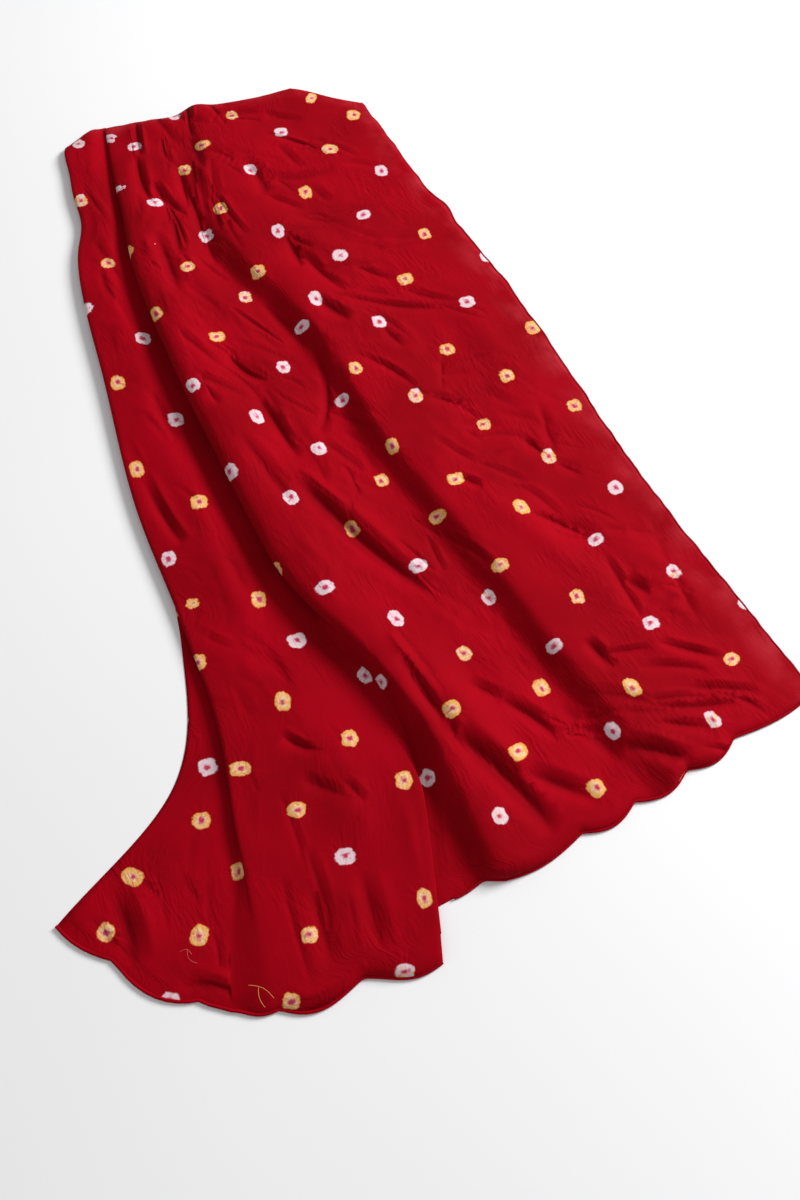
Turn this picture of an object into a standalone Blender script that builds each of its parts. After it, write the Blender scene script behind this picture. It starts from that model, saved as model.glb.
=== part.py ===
"""A bandhani cloth: one thin tie-dyed cloth lying in loose folds, built as one closed sheet.

The cloth is a grid whose columns run from the turned-down top edge to the scalloped hem. Going
across, from left to right, it makes two pleats. The left pleat hides a strip under the left
panel and opens out to the flared corner at the hem. The main pleat is a fat roll that leans over
the left panel in its upper part, opens into a plain valley, and turns the other way at the skirt,
where the left panel laps over the cloth that rises to the ridge.

Metres, +Z up. The origin is under the middle of the cloth, on the surface that it lies on.
X runs across, to the right, and Y runs up, from the hem to the top edge.
"""

import math

import bmesh
import bpy
from mathutils import Vector

MM = 0.001

# Sheet: its own thickness, and the air between two layers of a fold.
THICKNESS = 1.6 * MM
LAYER_GAP = 1.0 * MM
PITCH = THICKNESS + LAYER_GAP
FLOOR = THICKNESS / 2

# Fold lines over the surface, in metres: one row a fold, and in it one (x, y) for each section.
# The sections stand at even steps: top, shoulder, upper, middle, lower, skirt and hem.
FOLD_LINES = {
    "outer": ((-0.366, 0.420), (-0.332, 0.243), (-0.290, 0.105), (-0.246, -0.040),
              (-0.200, -0.190), (-0.195, -0.322), (-0.285, -0.446)),
    "tuck": ((-0.354, 0.440), (-0.316, 0.247), (-0.264, 0.111), (-0.207, -0.029),
             (-0.142, -0.162), (-0.112, -0.288), (-0.080, -0.505)),
    "left": ((-0.378, 0.426), (-0.343, 0.238), (-0.301, 0.100), (-0.256, -0.044),
             (-0.197, -0.179), (-0.153, -0.298), (-0.114, -0.516)),
    "inner": ((-0.280, 0.466), (-0.226, 0.272), (-0.170, 0.142), (-0.117, -0.003),
              (-0.050, -0.138), (0.014, -0.286), (0.040, -0.473)),
    "nose": ((-0.340, 0.458), (-0.287, 0.254), (-0.232, 0.119), (-0.165, -0.019),
             (-0.094, -0.156), (-0.022, -0.294), (-0.050, -0.490)),
    "ridge": ((-0.314, 0.468), (-0.269, 0.260), (-0.215, 0.126), (-0.146, -0.011),
              (-0.069, -0.144), (0.026, -0.268), (0.094, -0.410)),
    "belly": ((-0.284, 0.474), (-0.236, 0.272), (-0.160, 0.146), (-0.088, 0.013),
              (0.000, -0.112), (0.088, -0.231), (0.160, -0.376)),
    "trough": ((-0.257, 0.478), (-0.206, 0.281), (-0.106, 0.165), (-0.037, 0.034),
               (0.050, -0.088), (0.131, -0.209), (0.226, -0.338)),
    "crest": ((-0.230, 0.491), (-0.180, 0.290), (-0.084, 0.174), (-0.015, 0.044),
              (0.073, -0.078), (0.154, -0.198), (0.250, -0.324)),
    "spread": ((-0.128, 0.521), (-0.074, 0.323), (0.014, 0.210), (0.092, 0.088),
               (0.165, -0.035), (0.246, -0.150), (0.336, -0.268)),
    "right": ((-0.042, 0.503), (0.041, 0.358), (0.114, 0.243), (0.178, 0.121),
              (0.240, -0.002), (0.308, -0.117), (0.382, -0.238)),
}

# Heights of the middle of the sheet over the surface, in millimetres, at the same sections.
HEIGHTS = {
    "left": (9.0, 10.0, 10.0, 9.0, 8.5, 9.0, 7.0),
    "panel": (9.5, 11.5, 11.0, 10.0, 9.0, 9.0, 7.5),
    "valley": (3.0, 2.0, 1.4, 1.2, 1.2, 1.6, 2.0),
    "lap": (9.0, 9.0, 9.0, 9.0, 8.5, 8.8, 8.4),
    "ridge": (6.5, 20.0, 25.0, 25.0, 24.0, 21.0, 13.0),
    "belly": (9.0, 12.0, 11.0, 10.0, 9.0, 8.0, 6.0),
    "trough": (8.0, 4.0, 2.8, 2.2, 2.2, 2.2, 2.6),
    "crest": (12.0, 13.5, 14.5, 14.5, 14.0, 13.0, 10.0),
    "spread": (7.0, 5.5, 4.5, 4.0, 4.0, 4.5, 5.0),
    "right": (2.5, 0.8, 0.8, 0.8, 0.8, 0.8, 0.8),
}

# Soft creases that lie across the panels: from (x, y) to (x, y), half width and height.
CREASES = (
    ((-0.097, -0.004), (0.012, -0.116), 0.016, 0.0050),
    ((0.010, -0.190), (0.130, -0.340), 0.015, 0.0060),
    ((0.055, 0.235), (0.190, 0.010), 0.020, 0.0040),
    ((0.060, -0.010), (0.250, -0.180), 0.017, 0.0040),
    ((-0.160, 0.330), (-0.020, 0.250), 0.018, 0.0040),
    ((-0.215, 0.415), (-0.235, 0.300), 0.014, 0.0050),
    ((-0.215, 0.020), (-0.120, -0.200), 0.018, 0.0040),
    ((-0.085, -0.210), (-0.020, -0.400), 0.020, 0.0045),
    ((-0.190, -0.345), (-0.225, -0.460), 0.018, 0.0045),
    ((0.190, -0.150), (0.330, -0.255), 0.018, 0.0035),
)

# Tugs: where the cloth is pulled out of its fold lines, from (x, y), by (x, y), how far around.
TUGS = (
    ((-0.380, 0.413), (-0.005, 0.002), 0.022),
    ((-0.350, 0.313), (0.009, 0.000), 0.035),
    ((-0.352, 0.440), (-0.002, 0.011), 0.024),
    ((-0.240, 0.480), (0.000, 0.010), 0.020),
    ((-0.115, 0.520), (0.000, 0.005), 0.035),
    ((0.050, 0.340), (0.005, 0.002), 0.018),
    ((-0.075, -0.512), (0.001, -0.011), 0.045),
    ((-0.132, -0.528), (0.000, 0.012), 0.022),
    ((0.020, -0.480), (0.000, -0.006), 0.030),
)
# Moves the whole cloth, so that the middle of its box stands over the origin.
CENTRING = Vector((0.0, -0.005))

# Pleats: the bend of a pressed fold, the soft left fold, and where along the cloth each opens.
TIGHT_BEND = 1.4 * MM
SOFT_BEND = 4.0 * MM
LEFT_SLIDES_OPEN = (0.79, 0.90)
LEFT_FLATTENS = (0.87, 0.99)
RIDGE_OPENS = (0.60, 0.73)
LAP_BEGINS = (0.80, 0.88)
LAP_DEEPENS = (0.86, 0.96)
GATE = 0.020
VISIBLE_PANEL = 0.72
# The roll's nose is fuller than half an ellipse. The open valley's foot moves to the right here.
NOSE_FULLNESS = 0.6
VALLEY_MOVES = (0.66, 0.84)
# Shares of the plain valley that the columns take: where the roll opens, where the lap begins.
# 0 is the start of the left panel, 1 the valley, 2 the ridge and 3 the belly.
ROLL_SHARES = {
    "panel": (0.0, 1.0), "inner turn": (1.0, 1.22), "inner run": (1.22, 1.4),
    "nose turn": (1.4, 2.0), "rise": (2.0, 2.5), "slope": (2.5, 3.0),
}
LAP_SHARES = {
    "panel": (0.0, 0.86), "inner turn": (0.86, 0.91), "inner run": (0.91, 0.95),
    "nose turn": (0.95, 1.0), "rise": (1.0, 2.0), "slope": (2.0, 3.0),
}
FOOT_GAP = 3.0 * MM
# How far a pleat's short middle layer stands up where the pleat is just closing.
STAND_UP = 2.4 * MM
# Near the hem, the cloth below the lap stands back from the lap, and the flared corner bows out.
NEAR_HEM = (0.86, 1.0)
HEM_STEP = Vector((0.004, 0.050))
HEM_BOW = Vector((-0.004, -0.010))
# The share of the way to the ridge that the cloth below the lap lies flat, at the hem.
FLAT_AT_HEM = 0.4

# Edges: the top edge and the hem roll down to the surface, and hidden layers stop short of them.
TOP_ROLL = 0.013
HEM_ROLL = 0.010
TOP_SETBACK = 0.016
HEM_SETBACK = 0.014
SCALLOP_DEPTH = 0.009
# How far along the hem each notch stands from the outer corner; the first and last lie beyond it.
NOTCHES = (
    -0.030, 0.060, 0.143, 0.211, 0.283, 0.370, 0.440, 0.510, 0.565, 0.629, 0.726, 0.782, 0.839,
    0.893, 1.010,
)
# How much of a notch the last rows take, from the hem inwards.
SCALLOP_SHARES = (1.0, 1.0, 0.8)

# The columns of the grid, from left to right: stretch of cloth, its number of steps.
STRETCHES = (
    ("outer run", 7), ("tuck turn", 4), ("under run", 3), ("left turn", 4), ("panel", 10),
    ("inner turn", 4), ("inner run", 3), ("nose turn", 5), ("rise", 6), ("slope", 5),
    ("hollow", 6), ("crest", 3), ("spread", 4), ("edge", 4),
)
# How far each stretch is hidden below other layers, at its start and at its end.
HIDDEN = {
    "outer run": (1.0, 1.0), "tuck turn": (1.0, 1.0), "under run": (1.0, 1.0),
    "left turn": (1.0, 0.0), "inner turn": (1.0, 1.0), "inner run": (1.0, 1.0),
    "nose turn": (1.0, 0.0),
}
TOP_ROWS = (0.0, 0.15, 0.5, 1.0)
HEM_ROWS = (0.5, 0.0)
BODY_ROWS = 37

CLOTH_RED = (0.36, 0.004, 0.012, 1.0)
CLOTH_ROUGHNESS = 0.85


def clamp(value):
    return min(1.0, max(0.0, value))


def ease(value):
    """A soft step from 0 to 1."""
    value = clamp(value)
    return value * value * (3.0 - 2.0 * value)


def ease_over(span, t):
    """A soft step from 0 to 1 as t crosses a span."""
    start, end = span
    return ease((t - start) / (end - start))


def mix(start, end, share):
    return start + (end - start) * share


def along(values, t):
    """A smooth curve through values that stand at equal steps of t, from 0 to 1."""
    place = clamp(t) * (len(values) - 1)
    i = min(int(place), len(values) - 2)
    f = place - i
    before = values[i - 1] if i > 0 else values[i] * 2 - values[i + 1]
    after = values[i + 2] if i + 2 < len(values) else values[i + 1] * 2 - values[i]
    slope_in = (values[i + 1] - before) / 2
    slope_out = (after - values[i]) / 2
    return (
        values[i] * (2 * f**3 - 3 * f**2 + 1)
        + slope_in * (f**3 - 2 * f**2 + f)
        + values[i + 1] * (3 * f**2 - 2 * f**3)
        + slope_out * (f**3 - f**2)
    )


FOLD_VECTORS = {name: [Vector(point) for point in row] for name, row in FOLD_LINES.items()}


def fold(name, t):
    """Where a fold line lies over the surface at t."""
    return along(FOLD_VECTORS[name], t)


def height(name, t):
    """The height of the middle of the sheet on a fold line at t."""
    return max(FLOOR, along(HEIGHTS[name], t) * MM)


def at(plan, z):
    return Vector((plan.x, plan.y, z))


def turn(apex, inwards, reach, start_z, end_z, f, fullness=1.0):
    """The cloth bending back on itself around a fold line, as half an ellipse or fuller."""
    plan = apex + inwards * reach * (1.0 - max(0.0, math.sin(math.pi * f)) ** fullness)
    return at(plan, mix(start_z, end_z, (1.0 - math.cos(math.pi * f)) / 2))


def left_stand(t):
    return STAND_UP * ease_over(LEFT_SLIDES_OPEN, t)


def left_top(t):
    """The height of the left panel at its left fold: clear of two layers until it lies flat."""
    clear = FLOOR + 2 * PITCH + LAYER_GAP + left_stand(t)
    return mix(max(height("left", t), clear), height("left", t), ease_over(LEFT_FLATTENS, t))


def left_pleat(stretch, f, t):
    """The pleat under the left panel. It slides open and then lies flat towards the hem."""
    left, tuck = fold("left", t), fold("tuck", t)
    across = (fold("inner", t) - left).normalized()
    under = FLOOR + PITCH
    tuck = tuck.lerp(left + across * (TIGHT_BEND + SOFT_BEND), ease_over(LEFT_SLIDES_OPEN, t))
    if stretch == "outer run":
        folded = at(fold("outer", t).lerp(tuck - across * TIGHT_BEND, f), FLOOR)
    elif stretch == "tuck turn":
        folded = turn(tuck, -across, TIGHT_BEND, FLOOR, under, f)
    elif stretch == "under run":
        plan = (tuck - across * TIGHT_BEND).lerp(left + across * SOFT_BEND, f)
        folded = at(plan, under + left_stand(t) * f)
    else:
        folded = turn(left, across, SOFT_BEND, under + left_stand(t), left_top(t), f)
    flattened = ease_over(LEFT_FLATTENS, t)
    if flattened == 0.0:
        return folded
    gate = left - across * GATE
    if stretch == "outer run":
        plan, share = fold("outer", t).lerp(gate, f), 0.0
        plan += HEM_BOW * math.sin(math.pi * f) * ease_over(NEAR_HEM, t)
    else:
        start, end = {
            "tuck turn": (0.0, 0.36), "under run": (0.36, 0.64), "left turn": (0.64, 1.0)
        }[stretch]
        share = mix(start, end, f)
        plan = gate + across * 2 * GATE * share
    return folded.lerp(at(plan, mix(FLOOR, height("left", t), ease(share))), flattened)


def panel_start(t):
    left = fold("left", t)
    across = (fold("inner", t) - left).normalized()
    return left + across * mix(SOFT_BEND, GATE, ease_over(LEFT_FLATTENS, t))


def panel_height(f, t, end_z):
    """The left panel swells between its left fold and its right end."""
    middle = 0.45
    if f < middle:
        return mix(left_top(t), height("panel", t), ease(f / middle))
    return mix(height("panel", t), end_z, ease((f - middle) / (1.0 - middle)))


def plain_valley(share, t):
    """The open section: 0 at the left panel's start, 1 the valley, 2 the ridge, 3 the belly."""
    inner, nose, ridge = fold("inner", t), fold("nose", t), fold("ridge", t)
    valley, low = nose.lerp(inner, ease_over(VALLEY_MOVES, t)), height("valley", t)
    if share < 1.0:
        return at(panel_start(t).lerp(valley, share), panel_height(share, t, low))
    if share < 2.0:
        up = share - 1.0
        return at(valley.lerp(ridge, up), mix(low, height("ridge", t), 1.0 - (1.0 - up) ** 2))
    down = share - 2.0
    plan = ridge.lerp(fold("belly", t), down)
    return at(plan, mix(height("ridge", t), height("belly", t), ease(down)))


def rolled_pleat(stretch, f, t):
    """The main pleat in the upper cloth: a fat roll that leans over the left panel."""
    inner, nose, ridge = fold("inner", t), fold("nose", t), fold("ridge", t)
    across = (inner - nose).normalized()
    under = FLOOR + PITCH
    if stretch == "panel":
        if f < VISIBLE_PANEL:
            share = f / VISIBLE_PANEL
            return at(panel_start(t).lerp(nose, share), panel_height(share, t, height("valley", t)))
        share = (f - VISIBLE_PANEL) / (1.0 - VISIBLE_PANEL)
        plan = nose.lerp(inner - across * TIGHT_BEND, share)
        return at(plan, mix(height("valley", t), FLOOR, ease(share * 3.0)))
    if stretch == "inner turn":
        return turn(inner, -across, TIGHT_BEND, FLOOR, under, f)
    lean = ridge - nose
    if stretch == "inner run":
        return at((inner - across * TIGHT_BEND).lerp(nose + lean, f), under)
    if stretch == "nose turn":
        ridge_z = height("ridge", t)
        return turn(nose, lean.normalized(), lean.length, under, ridge_z, f, NOSE_FULLNESS)
    return plain_valley(mix(*ROLL_SHARES[stretch], f), t)


def lapped_pleat(stretch, f, t):
    """The main pleat at the skirt: the left panel laps over the cloth that rises to the ridge."""
    inner, nose, ridge = fold("inner", t), fold("nose", t), fold("ridge", t)
    across = (inner - nose).normalized()
    under = FLOOR + PITCH
    deepened = ease_over(LAP_DEEPENS, t)
    nose = (inner - across * 2 * TIGHT_BEND).lerp(nose, deepened)
    stand = STAND_UP * (1.0 - deepened)
    if stretch == "panel":
        plan = panel_start(t).lerp(inner - across * TIGHT_BEND, f)
        return at(plan, panel_height(f, t, height("lap", t)))
    if stretch == "inner turn":
        return turn(inner, -across, TIGHT_BEND, height("lap", t), under + stand, f)
    if stretch == "inner run":
        plan = (inner - across * TIGHT_BEND).lerp(nose + across * TIGHT_BEND, f)
        return at(plan, under + stand * (1.0 - f))
    if stretch == "nose turn":
        return turn(nose, across, TIGHT_BEND, under, FLOOR, f)
    if stretch == "rise":
        foot = inner + across * FOOT_GAP + HEM_STEP * ease_over(NEAR_HEM, t)
        hidden = 1 / 3
        if f < hidden:
            return at((nose + across * TIGHT_BEND).lerp(foot, f / hidden), FLOOR)
        up = (f - hidden) / (1.0 - hidden)
        flat = FLAT_AT_HEM * ease_over(NEAR_HEM, t)
        climb = ease((up - flat) / (1.0 - flat))
        return at(foot.lerp(ridge, up), mix(FLOOR, height("ridge", t), climb))
    return plain_valley(mix(*LAP_SHARES[stretch], f), t)


def main_pleat(stretch, f, t):
    """The pleat between the left panel and the ridge: rolled, then open, then lapped."""
    rolled = 1.0 - ease_over(RIDGE_OPENS, t)
    lapped = ease_over(LAP_BEGINS, t)
    shift = ease_over((RIDGE_OPENS[1], LAP_BEGINS[0]), t)
    share = mix(mix(*ROLL_SHARES[stretch], f), mix(*LAP_SHARES[stretch], f), shift)
    point = plain_valley(share, t)
    if rolled > 0.0:
        return point.lerp(rolled_pleat(stretch, f, t), rolled)
    return point.lerp(lapped_pleat(stretch, f, t), lapped)


def right_panel(stretch, f, t):
    start, end = {
        "hollow": ("belly", "trough"),
        "crest": ("trough", "crest"),
        "spread": ("crest", "spread"),
        "edge": ("spread", "right"),
    }[stretch]
    return at(fold(start, t).lerp(fold(end, t), f), mix(height(start, t), height(end, t), ease(f)))


def crease_height(x, y):
    """The relief that the soft creases add at one place."""
    total = 0.0
    here = Vector((x, y))
    for start, end, half_width, rise in CREASES:
        start, end = Vector(start), Vector(end)
        run = end - start
        share = clamp((here - start).dot(run) / run.length_squared)
        distance = (here - (start + run * share)).length
        total += rise * math.sin(math.pi * share) * math.exp(-((distance / half_width) ** 2))
    return total


def crease_share(stretch, f, t):
    """How much of the relief a stretch takes: none where other layers cover it."""
    if stretch == "panel":
        hidden = ease((f - 0.45) / 0.15) * (1.0 - ease_over(LAP_BEGINS, t))
        return (1.0 - hidden) * ease(f * 4) * (1.0 - ease((f - 0.8) / 0.2))
    if stretch == "outer run":
        return ease_over(LEFT_FLATTENS, t) * ease(f * 3)
    if stretch == "rise":
        return ease(f) * ease_over(LAP_BEGINS, t) + 1.0 - ease_over(LAP_BEGINS, t)
    if stretch == "edge":
        return 1.0 - ease(f)
    return 1.0 if stretch in ("slope", "hollow", "crest", "spread") else 0.0


def tug(x, y):
    """How far the cloth is pulled out of its fold lines at one place."""
    moved = at(CENTRING, 0.0)
    for place, pull, reach in TUGS:
        distance = (Vector((x, y)) - Vector(place)).length
        moved += at(Vector(pull), 0.0) * math.exp(-((distance / reach) ** 2))
    return moved


def edge_roll(t):
    """How far the sheet has risen from the surface, going in from the top edge or the hem."""
    inwards = clamp(min(t / TOP_ROLL, (1.0 - t) / HEM_ROLL))
    return math.sqrt(1.0 - (1.0 - inwards) ** 2)


def cloth_point(stretch, f, t):
    """The middle of the sheet, f of the way across a stretch and t of the way to the hem."""
    start, end = HIDDEN.get(stretch, (0.0, 0.0))
    hidden = mix(start, end, f)
    if stretch == "panel":
        hidden = ease((f - VISIBLE_PANEL) / (1.0 - VISIBLE_PANEL) * 2)
    t += TOP_SETBACK * hidden * max(0.0, 1.0 - 2.0 * t)
    if stretch in ("inner turn", "inner run", "nose turn"):
        t -= HEM_SETBACK * hidden * ease_over(NEAR_HEM, t)
    if stretch in ("outer run", "tuck turn", "under run", "left turn"):
        point = left_pleat(stretch, f, t)
    elif stretch in ("hollow", "crest", "spread", "edge"):
        point = right_panel(stretch, f, t)
    else:
        point = main_pleat(stretch, f, t)
    point.z += crease_height(point.x, point.y) * crease_share(stretch, f, t)
    point.z = mix(FLOOR, point.z, edge_roll(t))
    return point + tug(point.x, point.y)


def columns():
    """Every column as (stretch, f), from the outer edge to the right edge."""
    places = [(STRETCHES[0][0], 0.0)]
    for stretch, steps in STRETCHES:
        places += [(stretch, step / steps) for step in range(1, steps + 1)]
    return places


def rows():
    """Every row as t: a few over the rolled top edge, even steps down, a few over the hem."""
    top = [TOP_ROLL * share for share in TOP_ROWS]
    body = [mix(TOP_ROLL, 1.0 - HEM_ROLL, step / BODY_ROWS) for step in range(1, BODY_ROWS + 1)]
    return top + body + [1.0 - HEM_ROLL * share for share in HEM_ROWS]


def notch_share(travelled):
    """How deep the hem is drawn back: 1 in a notch, 0 halfway to the next one."""
    for start, end in zip(NOTCHES, NOTCHES[1:]):
        if start <= travelled <= end:
            return 1.0 - math.sin(math.pi * (travelled - start) / (end - start))
    return 0.0


def scallop_hem(lines):
    """Draws the notches of the hem back, by the cloth's length along its last row."""
    travelled = 0.0
    hem = [line[-1].copy() for line in lines]
    for i, line in enumerate(lines):
        if i:
            travelled += (hem[i] - hem[i - 1]).length
        notch = notch_share(travelled)
        inwards = line[-4] - line[-1]
        inwards.z = 0.0
        inwards.normalize()
        for row, share in enumerate(SCALLOP_SHARES):
            line[-1 - row] += inwards * SCALLOP_DEPTH * notch * share


def build_cloth():
    places, steps = columns(), rows()
    lines = [[cloth_point(stretch, f, t) for t in steps] for stretch, f in places]
    scallop_hem(lines)
    across, down = len(places) - 1, len(steps) - 1
    bm = bmesh.new()
    bmesh.ops.create_grid(bm, x_segments=across, y_segments=down, size=1.0)
    for vert in bm.verts:
        column = round((vert.co.x + 1.0) / 2 * across)
        row = round((1.0 - vert.co.y) / 2 * down)
        vert.co = lines[column][row]
    mesh = bpy.data.meshes.new("cloth")
    bm.to_mesh(mesh)
    bm.free()
    mesh.shade_smooth()
    cloth = bpy.data.objects.new("cloth", mesh)
    bpy.context.scene.collection.objects.link(cloth)
    sheet = cloth.modifiers.new("sheet", "SOLIDIFY")
    sheet.thickness = THICKNESS
    sheet.offset = 0.0
    return cloth


def dress(cloth):
    material = bpy.data.materials.new("bandhani cotton")
    material.use_nodes = True
    shader = material.node_tree.nodes["Principled BSDF"]
    shader.inputs["Base Color"].default_value = CLOTH_RED
    shader.inputs["Roughness"].default_value = CLOTH_ROUGHNESS
    shader.inputs["Metallic"].default_value = 0.0
    cloth.data.materials.append(material)


def main():
    for obj in list(bpy.data.objects):
        bpy.data.objects.remove(obj, do_unlink=True)
    dress(build_cloth())


main()
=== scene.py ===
"""Dresses the bandhani cloth: a thin tie-dyed cloth lying in loose folds.

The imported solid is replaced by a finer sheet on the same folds, with its creases, its tied dots, its
weave and its rolled hem. Metres, +Z up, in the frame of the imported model.
"""

import logging
import math
from dataclasses import dataclass, field
from enum import Enum

import bmesh
import bpy
import numpy as np
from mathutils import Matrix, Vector, noise


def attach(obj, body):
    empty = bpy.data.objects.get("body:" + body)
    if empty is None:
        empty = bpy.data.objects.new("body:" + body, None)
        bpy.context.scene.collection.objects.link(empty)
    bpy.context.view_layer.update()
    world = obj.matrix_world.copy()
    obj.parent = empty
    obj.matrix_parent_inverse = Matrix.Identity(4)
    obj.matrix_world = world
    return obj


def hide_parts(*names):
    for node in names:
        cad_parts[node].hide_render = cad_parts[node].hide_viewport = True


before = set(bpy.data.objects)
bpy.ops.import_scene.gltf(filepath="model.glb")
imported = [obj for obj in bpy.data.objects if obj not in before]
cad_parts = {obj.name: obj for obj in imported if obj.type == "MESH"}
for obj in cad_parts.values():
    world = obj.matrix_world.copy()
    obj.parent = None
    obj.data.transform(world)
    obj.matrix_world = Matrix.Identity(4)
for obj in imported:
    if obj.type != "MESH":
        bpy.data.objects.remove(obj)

MM = 0.001
LOG = logging.getLogger("bandhani")
CLOTH_NODE = "cloth"


# Small sums


def clamp(value: float) -> float:
    """Keeps a value between 0 and 1."""
    return min(1.0, max(0.0, value))


def ease(value: float) -> float:
    """A soft step from 0 to 1."""
    value = clamp(value)
    return value * value * (3.0 - 2.0 * value)


def ease_over(span: tuple[float, float], t: float) -> float:
    """A soft step from 0 to 1 as t crosses a span."""
    return ease((t - span[0]) / (span[1] - span[0]))


def mix(start: float, end: float, share: float) -> float:
    """The value that lies a share of the way from start to end."""
    return start + (end - start) * share


def along(values: list, t: float):
    """A smooth curve through values that stand at equal steps of t.

    Args:
        values: numbers or vectors, the first at t = 0 and the last at t = 1.
        t: the place on the curve, from 0 to 1.

    Returns:
        The number or vector at t.
    """
    place = clamp(t) * (len(values) - 1)
    i = min(int(place), len(values) - 2)
    f = place - i
    before = values[i - 1] if i > 0 else values[i] * 2 - values[i + 1]
    after = values[i + 2] if i + 2 < len(values) else values[i + 1] * 2 - values[i]
    slope_in = (values[i + 1] - before) / 2
    slope_out = (after - values[i]) / 2
    return (
        values[i] * (2 * f**3 - 3 * f**2 + 1)
        + slope_in * (f**3 - 2 * f**2 + f)
        + values[i + 1] * (3 * f**2 - 2 * f**3)
        + slope_out * (f**3 - f**2)
    )


def at(plan: Vector, z: float) -> Vector:
    """The point at a height z over a place on the surface."""
    return Vector((plan.x, plan.y, z))


def turn(
    apex: Vector, inwards: Vector, reach: float, start_z: float, end_z: float, f: float,
    fullness: float = 1.0,
) -> Vector:
    """The cloth bending back on itself around a fold line, as half an ellipse or fuller.

    Args:
        apex: the fold line's place over the surface.
        inwards: the way from the fold line into the fold.
        reach: how far the bend reaches inwards.
        start_z: the height at which the bend starts.
        end_z: the height at which it ends.
        f: the place on the bend, from 0 to 1.
        fullness: 1 for half an ellipse, less for a fuller bend.

    Returns:
        The point on the bend.
    """
    plan = apex + inwards * reach * (1.0 - max(0.0, math.sin(math.pi * f)) ** fullness)
    return at(plan, mix(start_z, end_z, (1.0 - math.cos(math.pi * f)) / 2))


# The folds


class Stretch(Enum):
    """The stretches of cloth that one section crosses, from its left end to its right edge."""

    OUTER_RUN = "outer run"
    TUCK_TURN = "tuck turn"
    UNDER_RUN = "under run"
    LEFT_TURN = "left turn"
    PANEL = "panel"
    INNER_TURN = "inner turn"
    INNER_RUN = "inner run"
    NOSE_TURN = "nose turn"
    RISE = "rise"
    SLOPE = "slope"
    HOLLOW = "hollow"
    CREST = "crest"
    SPREAD = "spread"
    EDGE = "edge"


LEFT_PLEAT = (Stretch.OUTER_RUN, Stretch.TUCK_TURN, Stretch.UNDER_RUN, Stretch.LEFT_TURN)
RIGHT_PANEL = (Stretch.HOLLOW, Stretch.CREST, Stretch.SPREAD, Stretch.EDGE)
COVERED = (Stretch.INNER_TURN, Stretch.INNER_RUN, Stretch.NOSE_TURN)

# Fold lines over the surface: one row a fold, and in it one (x, y) for each of seven sections, from
# the top edge to the hem.
FOLD_LINES = {
    "outer": ((-0.366, 0.420), (-0.332, 0.243), (-0.290, 0.105), (-0.246, -0.040),
              (-0.200, -0.190), (-0.195, -0.322), (-0.285, -0.446)),
    "tuck": ((-0.354, 0.440), (-0.316, 0.247), (-0.264, 0.111), (-0.207, -0.029),
             (-0.142, -0.162), (-0.112, -0.288), (-0.080, -0.505)),
    "left": ((-0.378, 0.426), (-0.343, 0.238), (-0.301, 0.100), (-0.256, -0.044),
             (-0.197, -0.179), (-0.153, -0.298), (-0.114, -0.516)),
    "inner": ((-0.280, 0.466), (-0.226, 0.272), (-0.170, 0.142), (-0.117, -0.003),
              (-0.050, -0.138), (0.014, -0.286), (0.040, -0.473)),
    "nose": ((-0.340, 0.458), (-0.287, 0.254), (-0.232, 0.119), (-0.165, -0.019),
             (-0.094, -0.156), (-0.022, -0.294), (-0.050, -0.490)),
    "ridge": ((-0.314, 0.468), (-0.269, 0.260), (-0.215, 0.126), (-0.146, -0.011),
              (-0.069, -0.144), (0.026, -0.268), (0.094, -0.410)),
    "belly": ((-0.284, 0.474), (-0.236, 0.272), (-0.160, 0.146), (-0.088, 0.013),
              (0.000, -0.112), (0.088, -0.231), (0.160, -0.376)),
    "trough": ((-0.257, 0.478), (-0.206, 0.281), (-0.106, 0.165), (-0.037, 0.034),
               (0.050, -0.088), (0.131, -0.209), (0.226, -0.338)),
    "crest": ((-0.230, 0.491), (-0.180, 0.290), (-0.084, 0.174), (-0.015, 0.044),
              (0.073, -0.078), (0.154, -0.198), (0.250, -0.324)),
    "spread": ((-0.128, 0.521), (-0.074, 0.323), (0.014, 0.210), (0.092, 0.088),
               (0.165, -0.035), (0.246, -0.150), (0.336, -0.268)),
    "right": ((-0.042, 0.503), (0.041, 0.358), (0.114, 0.243), (0.178, 0.121),
              (0.240, -0.002), (0.308, -0.117), (0.382, -0.238)),
}

# Heights of the middle of the sheet over the surface, in millimetres, at the same sections.
HEIGHTS = {
    "left": (9.0, 10.0, 10.0, 9.0, 8.5, 9.0, 7.0),
    "panel": (9.5, 11.5, 11.0, 10.0, 9.0, 9.0, 7.5),
    "valley": (3.0, 2.0, 1.4, 1.2, 1.2, 1.6, 2.0),
    "lap": (9.0, 9.0, 9.0, 9.0, 8.5, 8.8, 8.4),
    "ridge": (6.5, 20.0, 25.0, 25.0, 24.0, 21.0, 13.0),
    "belly": (9.0, 12.0, 11.0, 10.0, 9.0, 8.0, 6.0),
    "trough": (8.0, 4.0, 2.8, 2.2, 2.2, 2.2, 2.6),
    "crest": (12.0, 13.5, 14.5, 14.5, 14.0, 13.0, 10.0),
    "spread": (7.0, 5.5, 4.5, 4.0, 4.0, 4.5, 5.0),
    "right": (2.5, 0.8, 0.8, 0.8, 0.8, 0.8, 0.8),
}

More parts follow.
